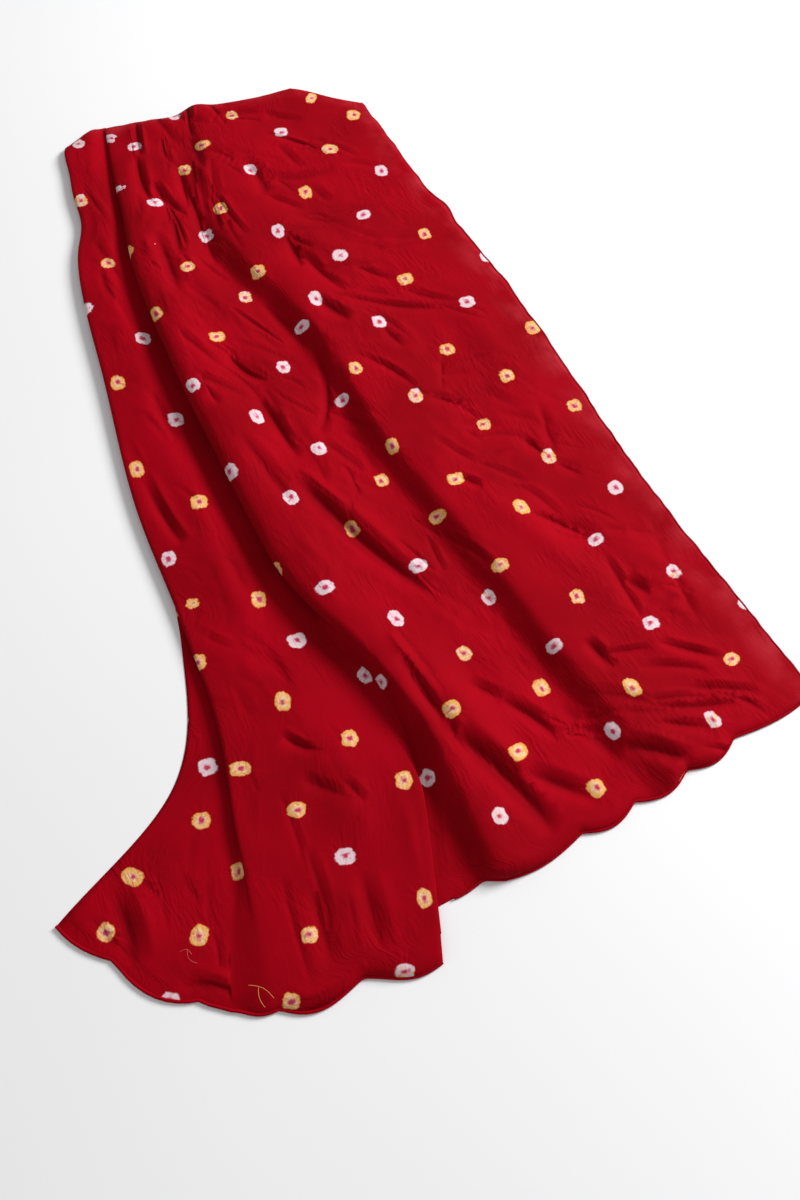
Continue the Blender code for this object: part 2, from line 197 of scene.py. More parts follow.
# Shares of the plain valley that the columns take: where the roll opens, where the lap begins.
# 0 is the start of the left panel, 1 the valley, 2 the ridge and 3 the belly.
ROLL_SHARES = {
    Stretch.PANEL: (0.0, 1.0), Stretch.INNER_TURN: (1.0, 1.22), Stretch.INNER_RUN: (1.22, 1.4),
    Stretch.NOSE_TURN: (1.4, 2.0), Stretch.RISE: (2.0, 2.5), Stretch.SLOPE: (2.5, 3.0),
}
LAP_SHARES = {
    Stretch.PANEL: (0.0, 0.86), Stretch.INNER_TURN: (0.86, 0.91), Stretch.INNER_RUN: (0.91, 0.95),
    Stretch.NOSE_TURN: (0.95, 1.0), Stretch.RISE: (1.0, 2.0), Stretch.SLOPE: (2.0, 3.0),
}
LEFT_SHARES = {
    Stretch.TUCK_TURN: (0.0, 0.36), Stretch.UNDER_RUN: (0.36, 0.64), Stretch.LEFT_TURN: (0.64, 1.0),
}
RIGHT_FOLDS = {
    Stretch.HOLLOW: ("belly", "trough"), Stretch.CREST: ("trough", "crest"),
    Stretch.SPREAD: ("crest", "spread"), Stretch.EDGE: ("spread", "right"),
}
# How far a stretch is hidden below other layers, at its start and at its end.
HIDDEN = {
    Stretch.OUTER_RUN: (1.0, 1.0), Stretch.TUCK_TURN: (1.0, 1.0), Stretch.UNDER_RUN: (1.0, 1.0),
    Stretch.LEFT_TURN: (1.0, 0.0), Stretch.INNER_TURN: (1.0, 1.0), Stretch.INNER_RUN: (1.0, 1.0),
    Stretch.NOSE_TURN: (1.0, 0.0),
}


# How much more cloth a stretch takes up than its smooth shape shows, in gathers and small folds.
TAKE_UP = {Stretch.CREST: 2.0, Stretch.SLOPE: 1.1}
# The share of a covered stretch's length that the layout of the dots counts, rolled and lapped.
COVERED_SHARE = (0.35, 0.15)
# How far the cloth has slid along the crest's fold, and how much more of it the top edge takes up.
CREST_SLIDE = 0.030
TOP_TAKE_UP = 0.35
TOP_GATHERS = (0.0, 0.13)
# How far the left panel's cloth is drawn at t, across and along.
PANEL_DRIFT = (
    (0.48, 0.000, 0.000), (0.58, 0.003, -0.006), (0.66, 0.038, -0.010), (0.74, 0.046, -0.012),
    (0.82, 0.040, -0.014), (0.87, 0.022, -0.012), (0.92, -0.012, -0.010), (1.00, -0.020, -0.008),
)


@dataclass
class Folds:
    """The folds in which the cloth lies, the same as the solid's.

    A place on the cloth is a stretch, f of the way across it and t of the way from the top edge to
    the hem. Sizes are in metres, and spans are shares of the cloth's length.
    """

    layer: float = 1.6 * MM
    layer_gap: float = 1.0 * MM
    tight_bend: float = 1.4 * MM
    soft_bend: float = 4.0 * MM
    stand_up: float = 2.4 * MM
    foot_gap: float = 3.0 * MM
    gate: float = 0.020
    visible_panel: float = 0.72
    nose_fullness: float = 0.6
    valley_moves: tuple[float, float] = (0.66, 0.84)
    left_slides_open: tuple[float, float] = (0.79, 0.90)
    left_flattens: tuple[float, float] = (0.87, 0.99)
    ridge_opens: tuple[float, float] = (0.60, 0.73)
    lap_begins: tuple[float, float] = (0.80, 0.88)
    lap_deepens: tuple[float, float] = (0.86, 0.96)
    near_hem: tuple[float, float] = (0.86, 1.0)
    hem_step: tuple[float, float] = (0.004, 0.050)
    hem_bow: tuple[float, float] = (-0.004, -0.010)
    flat_at_hem: float = 0.4
    top_roll: float = 0.013
    hem_roll: float = 0.010
    top_setback: float = 0.016
    hem_setback: float = 0.014
    lines: dict[str, list[Vector]] = field(default_factory=dict)

    def __post_init__(self) -> None:
        """Turns the fold lines' table into vectors."""
        self.lines = {name: [Vector(point) for point in row] for name, row in FOLD_LINES.items()}

    @property
    def floor(self) -> float:
        """The height of the middle of a layer that lies on the surface."""
        return self.layer / 2

    @property
    def second_layer(self) -> float:
        """The height of the middle of the layer above it."""
        return self.floor + self.layer + self.layer_gap

    def line(self, name: str, t: float) -> Vector:
        """Where a fold line lies over the surface at t."""
        return along(self.lines[name], t)

    def height(self, name: str, t: float) -> float:
        """The height of the middle of the sheet on a fold line at t."""
        return max(self.floor, along(HEIGHTS[name], t) * MM)

    def left_stand(self, t: float) -> float:
        """How far the strip below the left panel stands up where its fold is closing."""
        return self.stand_up * ease_over(self.left_slides_open, t)

    def left_top(self, t: float) -> float:
        """The height of the left panel at its left fold."""
        low = self.height("left", t)
        clear = self.second_layer + self.layer + 2 * self.layer_gap + self.left_stand(t)
        return mix(max(low, clear), low, ease_over(self.left_flattens, t))

    def left_pleat(self, stretch: Stretch, f: float, t: float) -> Vector:
        """The pleat under the left panel, which slides open and lies flat towards the hem.

        Args:
            stretch: one of the four stretches of this pleat.
            f: the share of the stretch.
            t: the share of the cloth's length.

        Returns:
            The point on the middle of the sheet.
        """
        left, tuck = self.line("left", t), self.line("tuck", t)
        across = (self.line("inner", t) - left).normalized()
        under = self.second_layer
        opened = ease_over(self.left_slides_open, t)
        tuck = tuck.lerp(left + across * (self.tight_bend + self.soft_bend), opened)
        if stretch is Stretch.OUTER_RUN:
            plan = self.line("outer", t).lerp(tuck - across * self.tight_bend, f)
            folded = at(plan, self.floor)
        elif stretch is Stretch.TUCK_TURN:
            folded = turn(tuck, -across, self.tight_bend, self.floor, under, f)
        elif stretch is Stretch.UNDER_RUN:
            plan = (tuck - across * self.tight_bend).lerp(left + across * self.soft_bend, f)
            folded = at(plan, under + self.left_stand(t) * f)
        else:
            start = under + self.left_stand(t)
            folded = turn(left, across, self.soft_bend, start, self.left_top(t), f)
        flattened = ease_over(self.left_flattens, t)
        if flattened == 0.0:
            return folded
        gate = left - across * self.gate
        if stretch is Stretch.OUTER_RUN:
            plan, share = self.line("outer", t).lerp(gate, f), 0.0
            bow = Vector(self.hem_bow) * math.sin(math.pi * f)
            plan += bow * ease_over(self.near_hem, t)
        else:
            share = mix(*LEFT_SHARES[stretch], f)
            plan = gate + across * 2 * self.gate * share
        flat = at(plan, mix(self.floor, self.height("left", t), ease(share)))
        return folded.lerp(flat, flattened)

    def panel_start(self, t: float) -> Vector:
        """Where the left panel starts, just right of its left fold."""
        left = self.line("left", t)
        across = (self.line("inner", t) - left).normalized()
        return left + across * mix(self.soft_bend, self.gate, ease_over(self.left_flattens, t))

    def panel_height(self, f: float, t: float, end_z: float) -> float:
        """The left panel's height, which swells between its left fold and its right end."""
        middle = 0.45
        if f < middle:
            return mix(self.left_top(t), self.height("panel", t), ease(f / middle))
        return mix(self.height("panel", t), end_z, ease((f - middle) / (1.0 - middle)))

    def plain_valley(self, share: float, t: float) -> Vector:
        """The open section beside the ridge.

        Args:
            share: 0 at the left panel's start, 1 in the valley, 2 on the ridge, 3 on its far side.
            t: the share of the cloth's length.

        Returns:
            The point on the middle of the sheet.
        """
        nose, ridge = self.line("nose", t), self.line("ridge", t)
        valley = nose.lerp(self.line("inner", t), ease_over(self.valley_moves, t))
        low = self.height("valley", t)
        top = self.height("ridge", t)
        if share < 1.0:
            return at(self.panel_start(t).lerp(valley, share), self.panel_height(share, t, low))
        if share < 2.0:
            up = share - 1.0
            return at(valley.lerp(ridge, up), mix(low, top, 1.0 - (1.0 - up) ** 2))
        down = share - 2.0
        plan = ridge.lerp(self.line("belly", t), down)
        return at(plan, mix(top, self.height("belly", t), ease(down)))

    def rolled_pleat(self, stretch: Stretch, f: float, t: float) -> Vector:
        """The main pleat in the upper cloth: a fat roll that leans over the left panel.

        Args:
            stretch: one of the stretches from the left panel to the slope.
            f: the share of the stretch.
            t: the share of the cloth's length.

        Returns:
            The point on the middle of the sheet.
        """
        inner, nose, ridge = self.line("inner", t), self.line("nose", t), self.line("ridge", t)
        across = (inner - nose).normalized()
        under, low = self.second_layer, self.height("valley", t)
        lean = ridge - nose
        if stretch is Stretch.PANEL:
            if f < self.visible_panel:
                share = f / self.visible_panel
                return at(self.panel_start(t).lerp(nose, share), self.panel_height(share, t, low))
            share = (f - self.visible_panel) / (1.0 - self.visible_panel)
            plan = nose.lerp(inner - across * self.tight_bend, share)
            return at(plan, mix(low, self.floor, ease(share * 3.0)))
        if stretch is Stretch.INNER_TURN:
            return turn(inner, -across, self.tight_bend, self.floor, under, f)
        if stretch is Stretch.INNER_RUN:
            return at((inner - across * self.tight_bend).lerp(nose + lean, f), under)
        if stretch is Stretch.NOSE_TURN:
            top = self.height("ridge", t)
            return turn(nose, lean.normalized(), lean.length, under, top, f, self.nose_fullness)
        return self.plain_valley(mix(*ROLL_SHARES[stretch], f), t)

    def lapped_pleat(self, stretch: Stretch, f: float, t: float) -> Vector:
        """The main pleat at the skirt: the left panel laps over the cloth that rises to the ridge.

        Args:
            stretch: one of the stretches from the left panel to the slope.
            f: the share of the stretch.
            t: the share of the cloth's length.

        Returns:
            The point on the middle of the sheet.
        """
        inner, nose, ridge = self.line("inner", t), self.line("nose", t), self.line("ridge", t)
        across = (inner - nose).normalized()
        under, bend = self.second_layer, self.tight_bend
        deepened = ease_over(self.lap_deepens, t)
        nose = (inner - across * 2 * bend).lerp(nose, deepened)
        stand = self.stand_up * (1.0 - deepened)
        lap_z = self.height("lap", t)
        if stretch is Stretch.PANEL:
            plan = self.panel_start(t).lerp(inner - across * bend, f)
            return at(plan, self.panel_height(f, t, lap_z))
        if stretch is Stretch.INNER_TURN:
            return turn(inner, -across, bend, lap_z, under + stand, f)
        if stretch is Stretch.INNER_RUN:
            plan = (inner - across * bend).lerp(nose + across * bend, f)
            return at(plan, under + stand * (1.0 - f))
        if stretch is Stretch.NOSE_TURN:
            return turn(nose, across, bend, under, self.floor, f)
        if stretch is Stretch.RISE:
            stepped = ease_over(self.near_hem, t)
            foot = inner + across * self.foot_gap + Vector(self.hem_step) * stepped
            hidden = 1 / 3
            if f < hidden:
                return at((nose + across * bend).lerp(foot, f / hidden), self.floor)
            up = (f - hidden) / (1.0 - hidden)
            flat = self.flat_at_hem * stepped
            climb = ease((up - flat) / (1.0 - flat))
            return at(foot.lerp(ridge, up), mix(self.floor, self.height("ridge", t), climb))
        return self.plain_valley(mix(*LAP_SHARES[stretch], f), t)

    def main_pleat(self, stretch: Stretch, f: float, t: float) -> Vector:
        """The pleat between the left panel and the ridge: rolled, then open, then lapped.

        Args:
            stretch: one of the stretches from the left panel to the slope.
            f: the share of the stretch.
            t: the share of the cloth's length.

        Returns:
            The point on the middle of the sheet.
        """
        rolled = 1.0 - ease_over(self.ridge_opens, t)
        lapped = ease_over(self.lap_begins, t)
        shift = ease_over((self.ridge_opens[1], self.lap_begins[0]), t)
        share = mix(mix(*ROLL_SHARES[stretch], f), mix(*LAP_SHARES[stretch], f), shift)
        point = self.plain_valley(share, t)
        if rolled > 0.0:
            return point.lerp(self.rolled_pleat(stretch, f, t), rolled)
        return point.lerp(self.lapped_pleat(stretch, f, t), lapped)

    def right_panel(self, stretch: Stretch, f: float, t: float) -> Vector:
        """The right panel: a trough, a low crest and the cloth that lies out to the right edge."""
        start, end = RIGHT_FOLDS[stretch]
        plan = self.line(start, t).lerp(self.line(end, t), f)
        return at(plan, mix(self.height(start, t), self.height(end, t), ease(f)))

    def edge_roll(self, t: float) -> float:
        """How far the sheet has risen from the surface, going in from the top edge or the hem."""
        inwards = clamp(min(t / self.top_roll, (1.0 - t) / self.hem_roll))
        return math.sqrt(1.0 - (1.0 - inwards) ** 2)

    def point(self, stretch: Stretch, f: float, t: float) -> Vector:
        """The middle of the sheet at one place on the cloth.

        Args:
            stretch: the stretch that the place lies on.
            f: the share of the stretch, from its left end.
            t: the share of the cloth's length, from the top edge.

        Returns:
            The point, before the soft creases are added.
        """
        start, end = HIDDEN.get(stretch, (0.0, 0.0))
        hidden = mix(start, end, f)
        if stretch is Stretch.PANEL:
            hidden = ease((f - self.visible_panel) / (1.0 - self.visible_panel) * 2)
        t += self.top_setback * hidden * max(0.0, 1.0 - 2.0 * t)
        if stretch in COVERED:
            t -= self.hem_setback * hidden * ease_over(self.near_hem, t)
        if stretch in LEFT_PLEAT:
            place = self.left_pleat(stretch, f, t)
        elif stretch in RIGHT_PANEL:
            place = self.right_panel(stretch, f, t)
        else:
            place = self.main_pleat(stretch, f, t)
        place.z = mix(self.floor, place.z, self.edge_roll(t))
        return place

    def take_up(self, stretch: Stretch, f: float, t: float) -> float:
        """How much the dots' layout stretches or shrinks the way across at one place."""
        rolled = 1.0 - ease_over(self.ridge_opens, t)
        lapped = ease_over(self.lap_begins, t)
        covered = 0.0
        if stretch in (Stretch.INNER_TURN, Stretch.INNER_RUN):
            covered = 1.0
        elif stretch is Stretch.PANEL and f > self.visible_panel:
            covered = rolled
        elif stretch is Stretch.NOSE_TURN or (stretch is Stretch.RISE and f < 1 / 3):
            covered = lapped
        share = mix(mix(1.0, COVERED_SHARE[0], rolled), COVERED_SHARE[1], lapped)
        return mix(TAKE_UP.get(stretch, 1.0), share, covered)

    @staticmethod
    def slide(stretch: Stretch, f: float) -> float:
        """How far the cloth has slid towards the top edge, beyond the crest's fold."""
        if stretch is Stretch.CREST:
            return CREST_SLIDE * (1.0 - f)
        if stretch in (Stretch.HOLLOW, Stretch.SLOPE, Stretch.RISE):
            return CREST_SLIDE
        return CREST_SLIDE * f if stretch is Stretch.NOSE_TURN else 0.0

    def open_share(self, stretch: Stretch, f: float, t: float) -> float:
        """How open to the air a place is, from 0 below other layers to 1: creases show there."""
        if stretch is Stretch.PANEL:
            hidden = ease((f - 0.45) / 0.15) * (1.0 - ease_over(self.lap_begins, t))
            return (1.0 - hidden) * ease(f * 4) * (1.0 - ease((f - 0.8) / 0.2))
        if stretch is Stretch.OUTER_RUN:
            return ease_over(self.left_flattens, t) * ease(f * 3)
        if stretch is Stretch.RISE:
            lapped = ease_over(self.lap_begins, t)
            return mix(1.0, ease(f), lapped)
        if stretch is Stretch.EDGE:
            return 1.0 - ease(f)
        return 1.0 if stretch in (Stretch.SLOPE, *RIGHT_PANEL) else 0.0


# The creases


# Tugs: where the cloth is pulled out of its fold lines, from (x, y), by (x, y), how far around.
TUGS = (
    ((-0.380, 0.413), (-0.005, 0.002), 0.022),
    ((-0.350, 0.313), (0.009, 0.000), 0.035),
    ((-0.352, 0.440), (-0.002, 0.011), 0.024),
    ((-0.240, 0.480), (0.000, 0.010), 0.020),
    ((-0.115, 0.520), (0.000, 0.005), 0.035),
    ((0.050, 0.340), (0.005, 0.002), 0.018),
    ((-0.075, -0.512), (0.001, -0.011), 0.045),
    ((-0.132, -0.528), (0.000, 0.012), 0.022),
    ((0.020, -0.480), (0.000, -0.006), 0.030),
)
# Moves the whole cloth, so that the middle of its box stands over the origin.
CENTRING = (0.0, -0.005)

# How far along the hem each notch stands from the outer corner; the first and last lie beyond it.
NOTCHES = (
    -0.030, 0.060, 0.143, 0.211, 0.283, 0.370, 0.440, 0.510, 0.565, 0.629, 0.726, 0.782, 0.839,
    0.893, 1.010,
)


@dataclass(frozen=True)
class Crease:
    """One soft crease that lies across a panel.

    Args:
        x: where it starts, across.
        y: where it starts, along.
        to_x: where it ends, across.
        to_y: where it ends, along.
        bow: how far its middle stands off the straight line.
        half_width: half its width.
        rise: its height, or its depth where that is negative.
    """

    x: float
    y: float
    to_x: float
    to_y: float
    bow: float
    half_width: float
    rise: float

    def placed(self, places: np.ndarray) -> tuple[np.ndarray, np.ndarray, np.ndarray]:
        """Where places lie beside the crease.

        Args:
            places: the places over the surface, as rows of (x, y).

        Returns:
            For each place how far off the crease it lies and how far past its ends, both in half
            widths, and the height of the crease's middle there.
        """
        start = np.array((self.x, self.y))
        run = np.array((self.to_x, self.to_y)) - start
        length = np.linalg.norm(run)
        run = run / length
        side = np.array((-run[1], run[0]))
        share = np.clip((places - start) @ run / length, 0.0, 1.0)
        off = (places - start) @ side - self.bow * 4.0 * share * (1.0 - share)
        past = (places - start) @ run - share * length
        height = self.rise * np.sin(math.pi * share) ** 0.7
        return off / self.half_width, past / self.half_width, height

    def relief(self, places: np.ndarray) -> np.ndarray:
        """The height that the crease adds at each of the places, which are rows of (x, y)."""
        off, past, height = self.placed(places)
        return height / (1.0 + off**2 + past**2) ** 1.5


# The broad soft creases, which the solid has too.
BROAD_CREASES = (
    ((-0.097, -0.004), (0.012, -0.116), 0.016, 0.0050),
    ((0.010, -0.190), (0.130, -0.340), 0.015, 0.0060),
    ((0.055, 0.235), (0.190, 0.010), 0.020, 0.0040),
    ((0.060, -0.010), (0.250, -0.180), 0.017, 0.0040),
    ((-0.160, 0.330), (-0.020, 0.250), 0.018, 0.0040),
    ((-0.215, 0.415), (-0.235, 0.300), 0.014, 0.0050),
    ((-0.215, 0.020), (-0.120, -0.200), 0.018, 0.0040),
    ((-0.085, -0.210), (-0.020, -0.400), 0.020, 0.0045),
    ((-0.190, -0.345), (-0.225, -0.460), 0.018, 0.0045),
    ((0.190, -0.150), (0.330, -0.255), 0.018, 0.0035),
)

# The fine creases: x, y, to x, to y, bow, half width, rise.
FINE_CREASES = (
    Crease(-0.297, 0.408, -0.273, 0.338, -0.004, 0.0050, -0.0030),
    Crease(-0.276, 0.370, -0.234, 0.321, -0.004, 0.0050, -0.0030),
    Crease(-0.252, 0.400, -0.228, 0.328, 0.000, 0.0050, -0.0025),
    Crease(-0.315, 0.375, -0.284, 0.309, 0.000, 0.0060, -0.0020),
    Crease(-0.307, 0.405, -0.312, 0.345, 0.000, 0.0050, -0.0020),
    Crease(-0.265, 0.295, -0.231, 0.205, 0.000, 0.0080, -0.0030),
    Crease(-0.219, 0.323, -0.199, 0.257, 0.000, 0.0060, -0.0020),
    Crease(-0.179, 0.408, -0.147, 0.351, 0.005, 0.0070, -0.0030),
    Crease(-0.164, 0.381, -0.071, 0.396, -0.008, 0.0050, -0.0020),
    Crease(-0.065, 0.405, -0.008, 0.393, 0.005, 0.0040, -0.0018),
    Crease(-0.152, 0.357, -0.102, 0.334, -0.003, 0.0040, -0.0015),
    Crease(-0.222, 0.455, -0.158, 0.480, 0.009, 0.0050, -0.0020),
    Crease(-0.158, 0.480, -0.113, 0.470, -0.003, 0.0040, -0.0015),
    Crease(-0.122, 0.293, -0.103, 0.249, 0.000, 0.0050, -0.0030),
    Crease(-0.106, 0.274, -0.053, 0.216, -0.004, 0.0050, -0.0022),
    Crease(-0.087, 0.205, -0.050, 0.176, 0.000, 0.0060, -0.0030),
    Crease(-0.057, 0.257, -0.001, 0.235, 0.000, 0.0040, -0.0015),
    Crease(-0.072, 0.213, 0.063, 0.199, -0.005, 0.0040, -0.0020),
    Crease(0.003, 0.227, 0.065, 0.208, -0.004, 0.0040, -0.0018),
    Crease(-0.018, 0.171, 0.007, 0.143, 0.000, 0.0040, -0.0015),
    Crease(-0.043, 0.132, 0.021, 0.090, 0.005, 0.0035, -0.0018),
    Crease(0.032, 0.081, 0.072, 0.067, 0.004, 0.0040, -0.0026),
    Crease(0.046, 0.135, 0.046, 0.092, 0.000, 0.0030, -0.0012),
    Crease(0.103, 0.211, 0.131, 0.171, 0.000, 0.0050, -0.0022),
    Crease(0.144, 0.080, 0.159, 0.015, 0.000, 0.0050, -0.0018),
    Crease(0.125, 0.034, 0.149, 0.015, 0.000, 0.0040, -0.0020),
    Crease(0.158, 0.006, 0.185, -0.008, 0.000, 0.0040, -0.0016),
    Crease(0.129, -0.054, 0.189, -0.084, 0.004, 0.0040, -0.0022),
    Crease(0.198, -0.097, 0.233, -0.176, 0.000, 0.0040, -0.0018),
    Crease(0.217, -0.124, 0.240, -0.139, 0.000, 0.0060, -0.0022),
    Crease(0.060, -0.015, 0.085, -0.026, 0.000, 0.0040, -0.0020),
    Crease(0.173, -0.189, 0.198, -0.218, 0.000, 0.0050, -0.0030),
    Crease(0.185, -0.204, 0.235, -0.195, 0.000, 0.0030, -0.0015),
    Crease(0.241, -0.190, 0.298, -0.205, 0.000, 0.0040, -0.0024),
    Crease(0.222, -0.216, 0.287, -0.220, 0.004, 0.0040, -0.0015),
    Crease(0.226, -0.253, 0.317, -0.245, -0.004, 0.0050, -0.0022),
    Crease(0.232, -0.268, 0.281, -0.273, 0.000, 0.0040, -0.0020),
    Crease(0.203, -0.288, 0.262, -0.305, 0.000, 0.0070, -0.0035),
    Crease(0.266, -0.235, 0.329, -0.237, 0.000, 0.0040, -0.0016),
    Crease(0.247, -0.045, 0.258, -0.105, 0.000, 0.0060, -0.0018),
    Crease(0.260, -0.105, 0.282, -0.168, 0.000, 0.0050, -0.0016),
    Crease(0.093, -0.247, 0.145, -0.283, 0.003, 0.0060, -0.0026),
    Crease(0.063, -0.230, 0.097, -0.247, 0.000, 0.0050, -0.0020),
    Crease(-0.099, -0.019, 0.041, -0.147, -0.006, 0.0090, -0.0045),
    Crease(-0.096, -0.006, -0.044, -0.053, 0.000, 0.0050, 0.0015),
    Crease(0.001, -0.203, 0.049, -0.281, 0.000, 0.0050, -0.0036),
    Crease(0.049, -0.281, 0.137, -0.369, 0.005, 0.0090, -0.0050),
    Crease(-0.008, -0.184, 0.044, -0.258, 0.000, 0.0040, 0.0026),
    Crease(0.030, -0.247, 0.068, -0.312, 0.000, 0.0050, -0.0020),
    Crease(0.108, -0.312, 0.177, -0.339, 0.000, 0.0070, -0.0025),
    Crease(0.147, -0.247, 0.197, -0.303, 0.000, 0.0080, -0.0020),
    Crease(-0.085, 0.140, -0.079, 0.037, 0.010, 0.0050, -0.0026),
    Crease(-0.178, 0.137, -0.133, 0.100, -0.007, 0.0050, -0.0030),
    Crease(-0.144, 0.082, -0.098, 0.006, 0.000, 0.0060, -0.0028),
    Crease(-0.217, 0.100, -0.177, 0.061, 0.000, 0.0050, -0.0020),
    Crease(-0.144, 0.205, -0.091, 0.140, 0.000, 0.0060, -0.0018),
    Crease(-0.157, 0.029, -0.094, -0.062, 0.000, 0.0070, -0.0018),
    Crease(-0.254, -0.010, -0.206, -0.089, -0.003, 0.0050, -0.0040),
    Crease(-0.280, 0.037, -0.254, -0.006, 0.000, 0.0040, -0.0020),
    Crease(-0.179, -0.062, -0.138, -0.147, 0.000, 0.0070, -0.0018),
    Crease(-0.253, 0.090, -0.221, 0.029, 0.000, 0.0060, -0.0016),
    Crease(-0.103, -0.280, -0.062, -0.294, -0.005, 0.0040, -0.0024),
    Crease(-0.048, -0.321, -0.028, -0.341, 0.000, 0.0040, -0.0018),
    Crease(-0.128, -0.427, -0.126, -0.464, 0.000, 0.0035, -0.0018),
    Crease(-0.084, -0.321, -0.039, -0.339, 0.000, 0.0050, -0.0014),
    Crease(-0.073, -0.408, -0.054, -0.473, 0.000, 0.0060, -0.0016),
    Crease(-0.031, -0.400, -0.013, -0.465, 0.000, 0.0070, -0.0018),
    Crease(-0.124, -0.188, -0.087, -0.247, 0.000, 0.0070, -0.0015),
    Crease(-0.181, -0.283, -0.179, -0.408, 0.003, 0.0060, -0.0040),
    Crease(-0.169, -0.286, -0.153, -0.425, 0.000, 0.0070, 0.0025),
    Crease(-0.160, -0.339, -0.158, -0.449, 0.000, 0.0060, -0.0020),
    Crease(-0.218, -0.406, -0.200, -0.425, 0.002, 0.0040, -0.0020),
    Crease(-0.243, -0.413, -0.216, -0.478, 0.003, 0.0080, -0.0040),
    Crease(-0.259, -0.437, -0.227, -0.465, 0.000, 0.0070, -0.0025),
    Crease(-0.176, -0.494, -0.122, -0.504, 0.006, 0.0060, -0.0030),
    Crease(-0.113, -0.504, -0.038, -0.492, -0.005, 0.0050, -0.0030),
    Crease(-0.160, -0.481, -0.119, -0.497, 0.002, 0.0060, 0.0020),
    Crease(0.027, -0.318, 0.037, -0.411, 0.000, 0.0040, -0.0020),
    Crease(0.007, -0.339, 0.023, -0.408, 0.000, 0.0060, 0.0016),
)


@dataclass(frozen=True)
class WrinkleGroup:
    """A group of short wrinkles scattered around a middle line over the surface.

    Args:
        x: where the middle line starts, across.
        y: where it starts, along.
        to_x: where it ends, across.
        to_y: where it ends, along.
        reach: how far the group spreads to each side.
        count: how many wrinkles it has.
        turned: how far they turn from the middle line, in degrees.
        spread: how far one may turn from that, in degrees.
        length: their mean length.
        rise: their mean height, or their depth where that is negative.
    """

    x: float
    y: float
    to_x: float
    to_y: float
    reach: float
    count: int
    turned: float
    spread: float
    length: float
    rise: float

    def creases(self, seed: int) -> list[Crease]:
        """The wrinkles of the group, the same for the same seed."""
        scatter = np.random.default_rng(seed)
        start, end = Vector((self.x, self.y)), Vector((self.to_x, self.to_y))
        run = (end - start).normalized()
        side = Vector((-run.y, run.x))
        found = []
        for _ in range(self.count):
            share, off, turn_by, size, bow, width, depth = scatter.uniform(-1.0, 1.0, 7)
            middle = start.lerp(end, share / 2 + 0.5) + side * off * self.reach
            angle = math.atan2(run.y, run.x) + math.radians(self.turned + turn_by * self.spread)
            half = Vector((math.cos(angle), math.sin(angle))) * self.length * (0.5 + 0.25 * size)
            tail, tip = middle - half, middle + half
            rise = self.rise * (1.0 + 0.6 * depth)
            half_width = (4.2 + 1.6 * width) * MM
            found.append(Crease(tail.x, tail.y, tip.x, tip.y, bow * 0.005, half_width, rise))
        return found


# The small wrinkles: x, y, to x, to y, reach, count, turned, spread, length, rise.
WRINKLE_GROUPS = (
    WrinkleGroup(-0.285, 0.470, -0.200, 0.300, 0.045, 18, 0, 24, 0.080, -0.0026),
    WrinkleGroup(-0.240, 0.450, -0.060, 0.400, 0.050, 16, -10, 24, 0.060, -0.0016),
    WrinkleGroup(-0.360, 0.400, -0.300, 0.180, 0.022, 10, 8, 14, 0.060, -0.0014),
    WrinkleGroup(-0.250, 0.300, -0.100, 0.020, 0.045, 24, 22, 26, 0.055, -0.0014),
    WrinkleGroup(-0.100, 0.100, 0.060, -0.150, 0.050, 22, 15, 28, 0.055, -0.0014),
    WrinkleGroup(-0.070, 0.360, 0.060, 0.160, 0.070, 28, 40, 36, 0.055, -0.0010),
    WrinkleGroup(0.060, 0.130, 0.280, -0.170, 0.070, 38, 45, 36, 0.050, -0.0011),
    WrinkleGroup(0.120, -0.250, 0.330, -0.270, 0.030, 12, 8, 34, 0.055, -0.0014),
    WrinkleGroup(-0.260, 0.050, -0.130, -0.250, 0.060, 18, 15, 30, 0.055, -0.0010),
    WrinkleGroup(-0.150, -0.280, -0.100, -0.460, 0.090, 20, 0, 22, 0.070, -0.0012),
    WrinkleGroup(-0.290, 0.020, -0.240, -0.100, 0.015, 8, 5, 12, 0.055, -0.0022),
)


# The finishes


@dataclass(frozen=True)
class DyedCotton:
    """The finish of the dyed cloth: its dye, its weave and its surface, with the colours of its painted
    crease shade and its painted edge glow.
    """

    name: str = "dyed cotton"
    red: tuple[float, float, float] = (0.310, 0.000, 0.006)
    deep_red: tuple[float, float, float] = (0.240, 0.000, 0.004)
    # Painted shade: the dark red that is laid into the middle of the deeper creases.
    painted_crease_shade_red: tuple[float, float, float] = (0.090, 0.000, 0.002)
    seam_red: tuple[float, float, float] = (0.560, 0.090, 0.110)
    # Painted glow: a lighter, paler red that stands for the floor's light showing through the single layer
    # near the right and top edges.
    painted_edge_glow_red: tuple[float, float, float] = (0.380, 0.016, 0.026)
    roughness: float = 0.80
    sheen: float = 0.0
    specular: float = 0.035
    thread_pitch: float = 0.7 * MM
    weave_depth: float = 0.06 * MM


@dataclass(frozen=True)
class TieFinish:
    """The colours and the size of the tied dots."""

    width: float = 16.5 * MM
    white: tuple[float, float, float] = (0.680, 0.520, 0.560)
    peach: tuple[float, float, float] = (0.760, 0.500, 0.310)
    orange: tuple[float, float, float] = (0.700, 0.350, 0.085)
    core: tuple[float, float, float] = (0.480, 0.030, 0.090)
    pucker: float = 0.5 * MM


@dataclass(frozen=True)
class PaleFloor:
    """The finish of the surface that the cloth lies on."""

    name: str = "pale paper"
    colour: tuple[float, float, float] = (0.86, 0.86, 0.87)
    roughness: float = 0.7


# Shader nodes


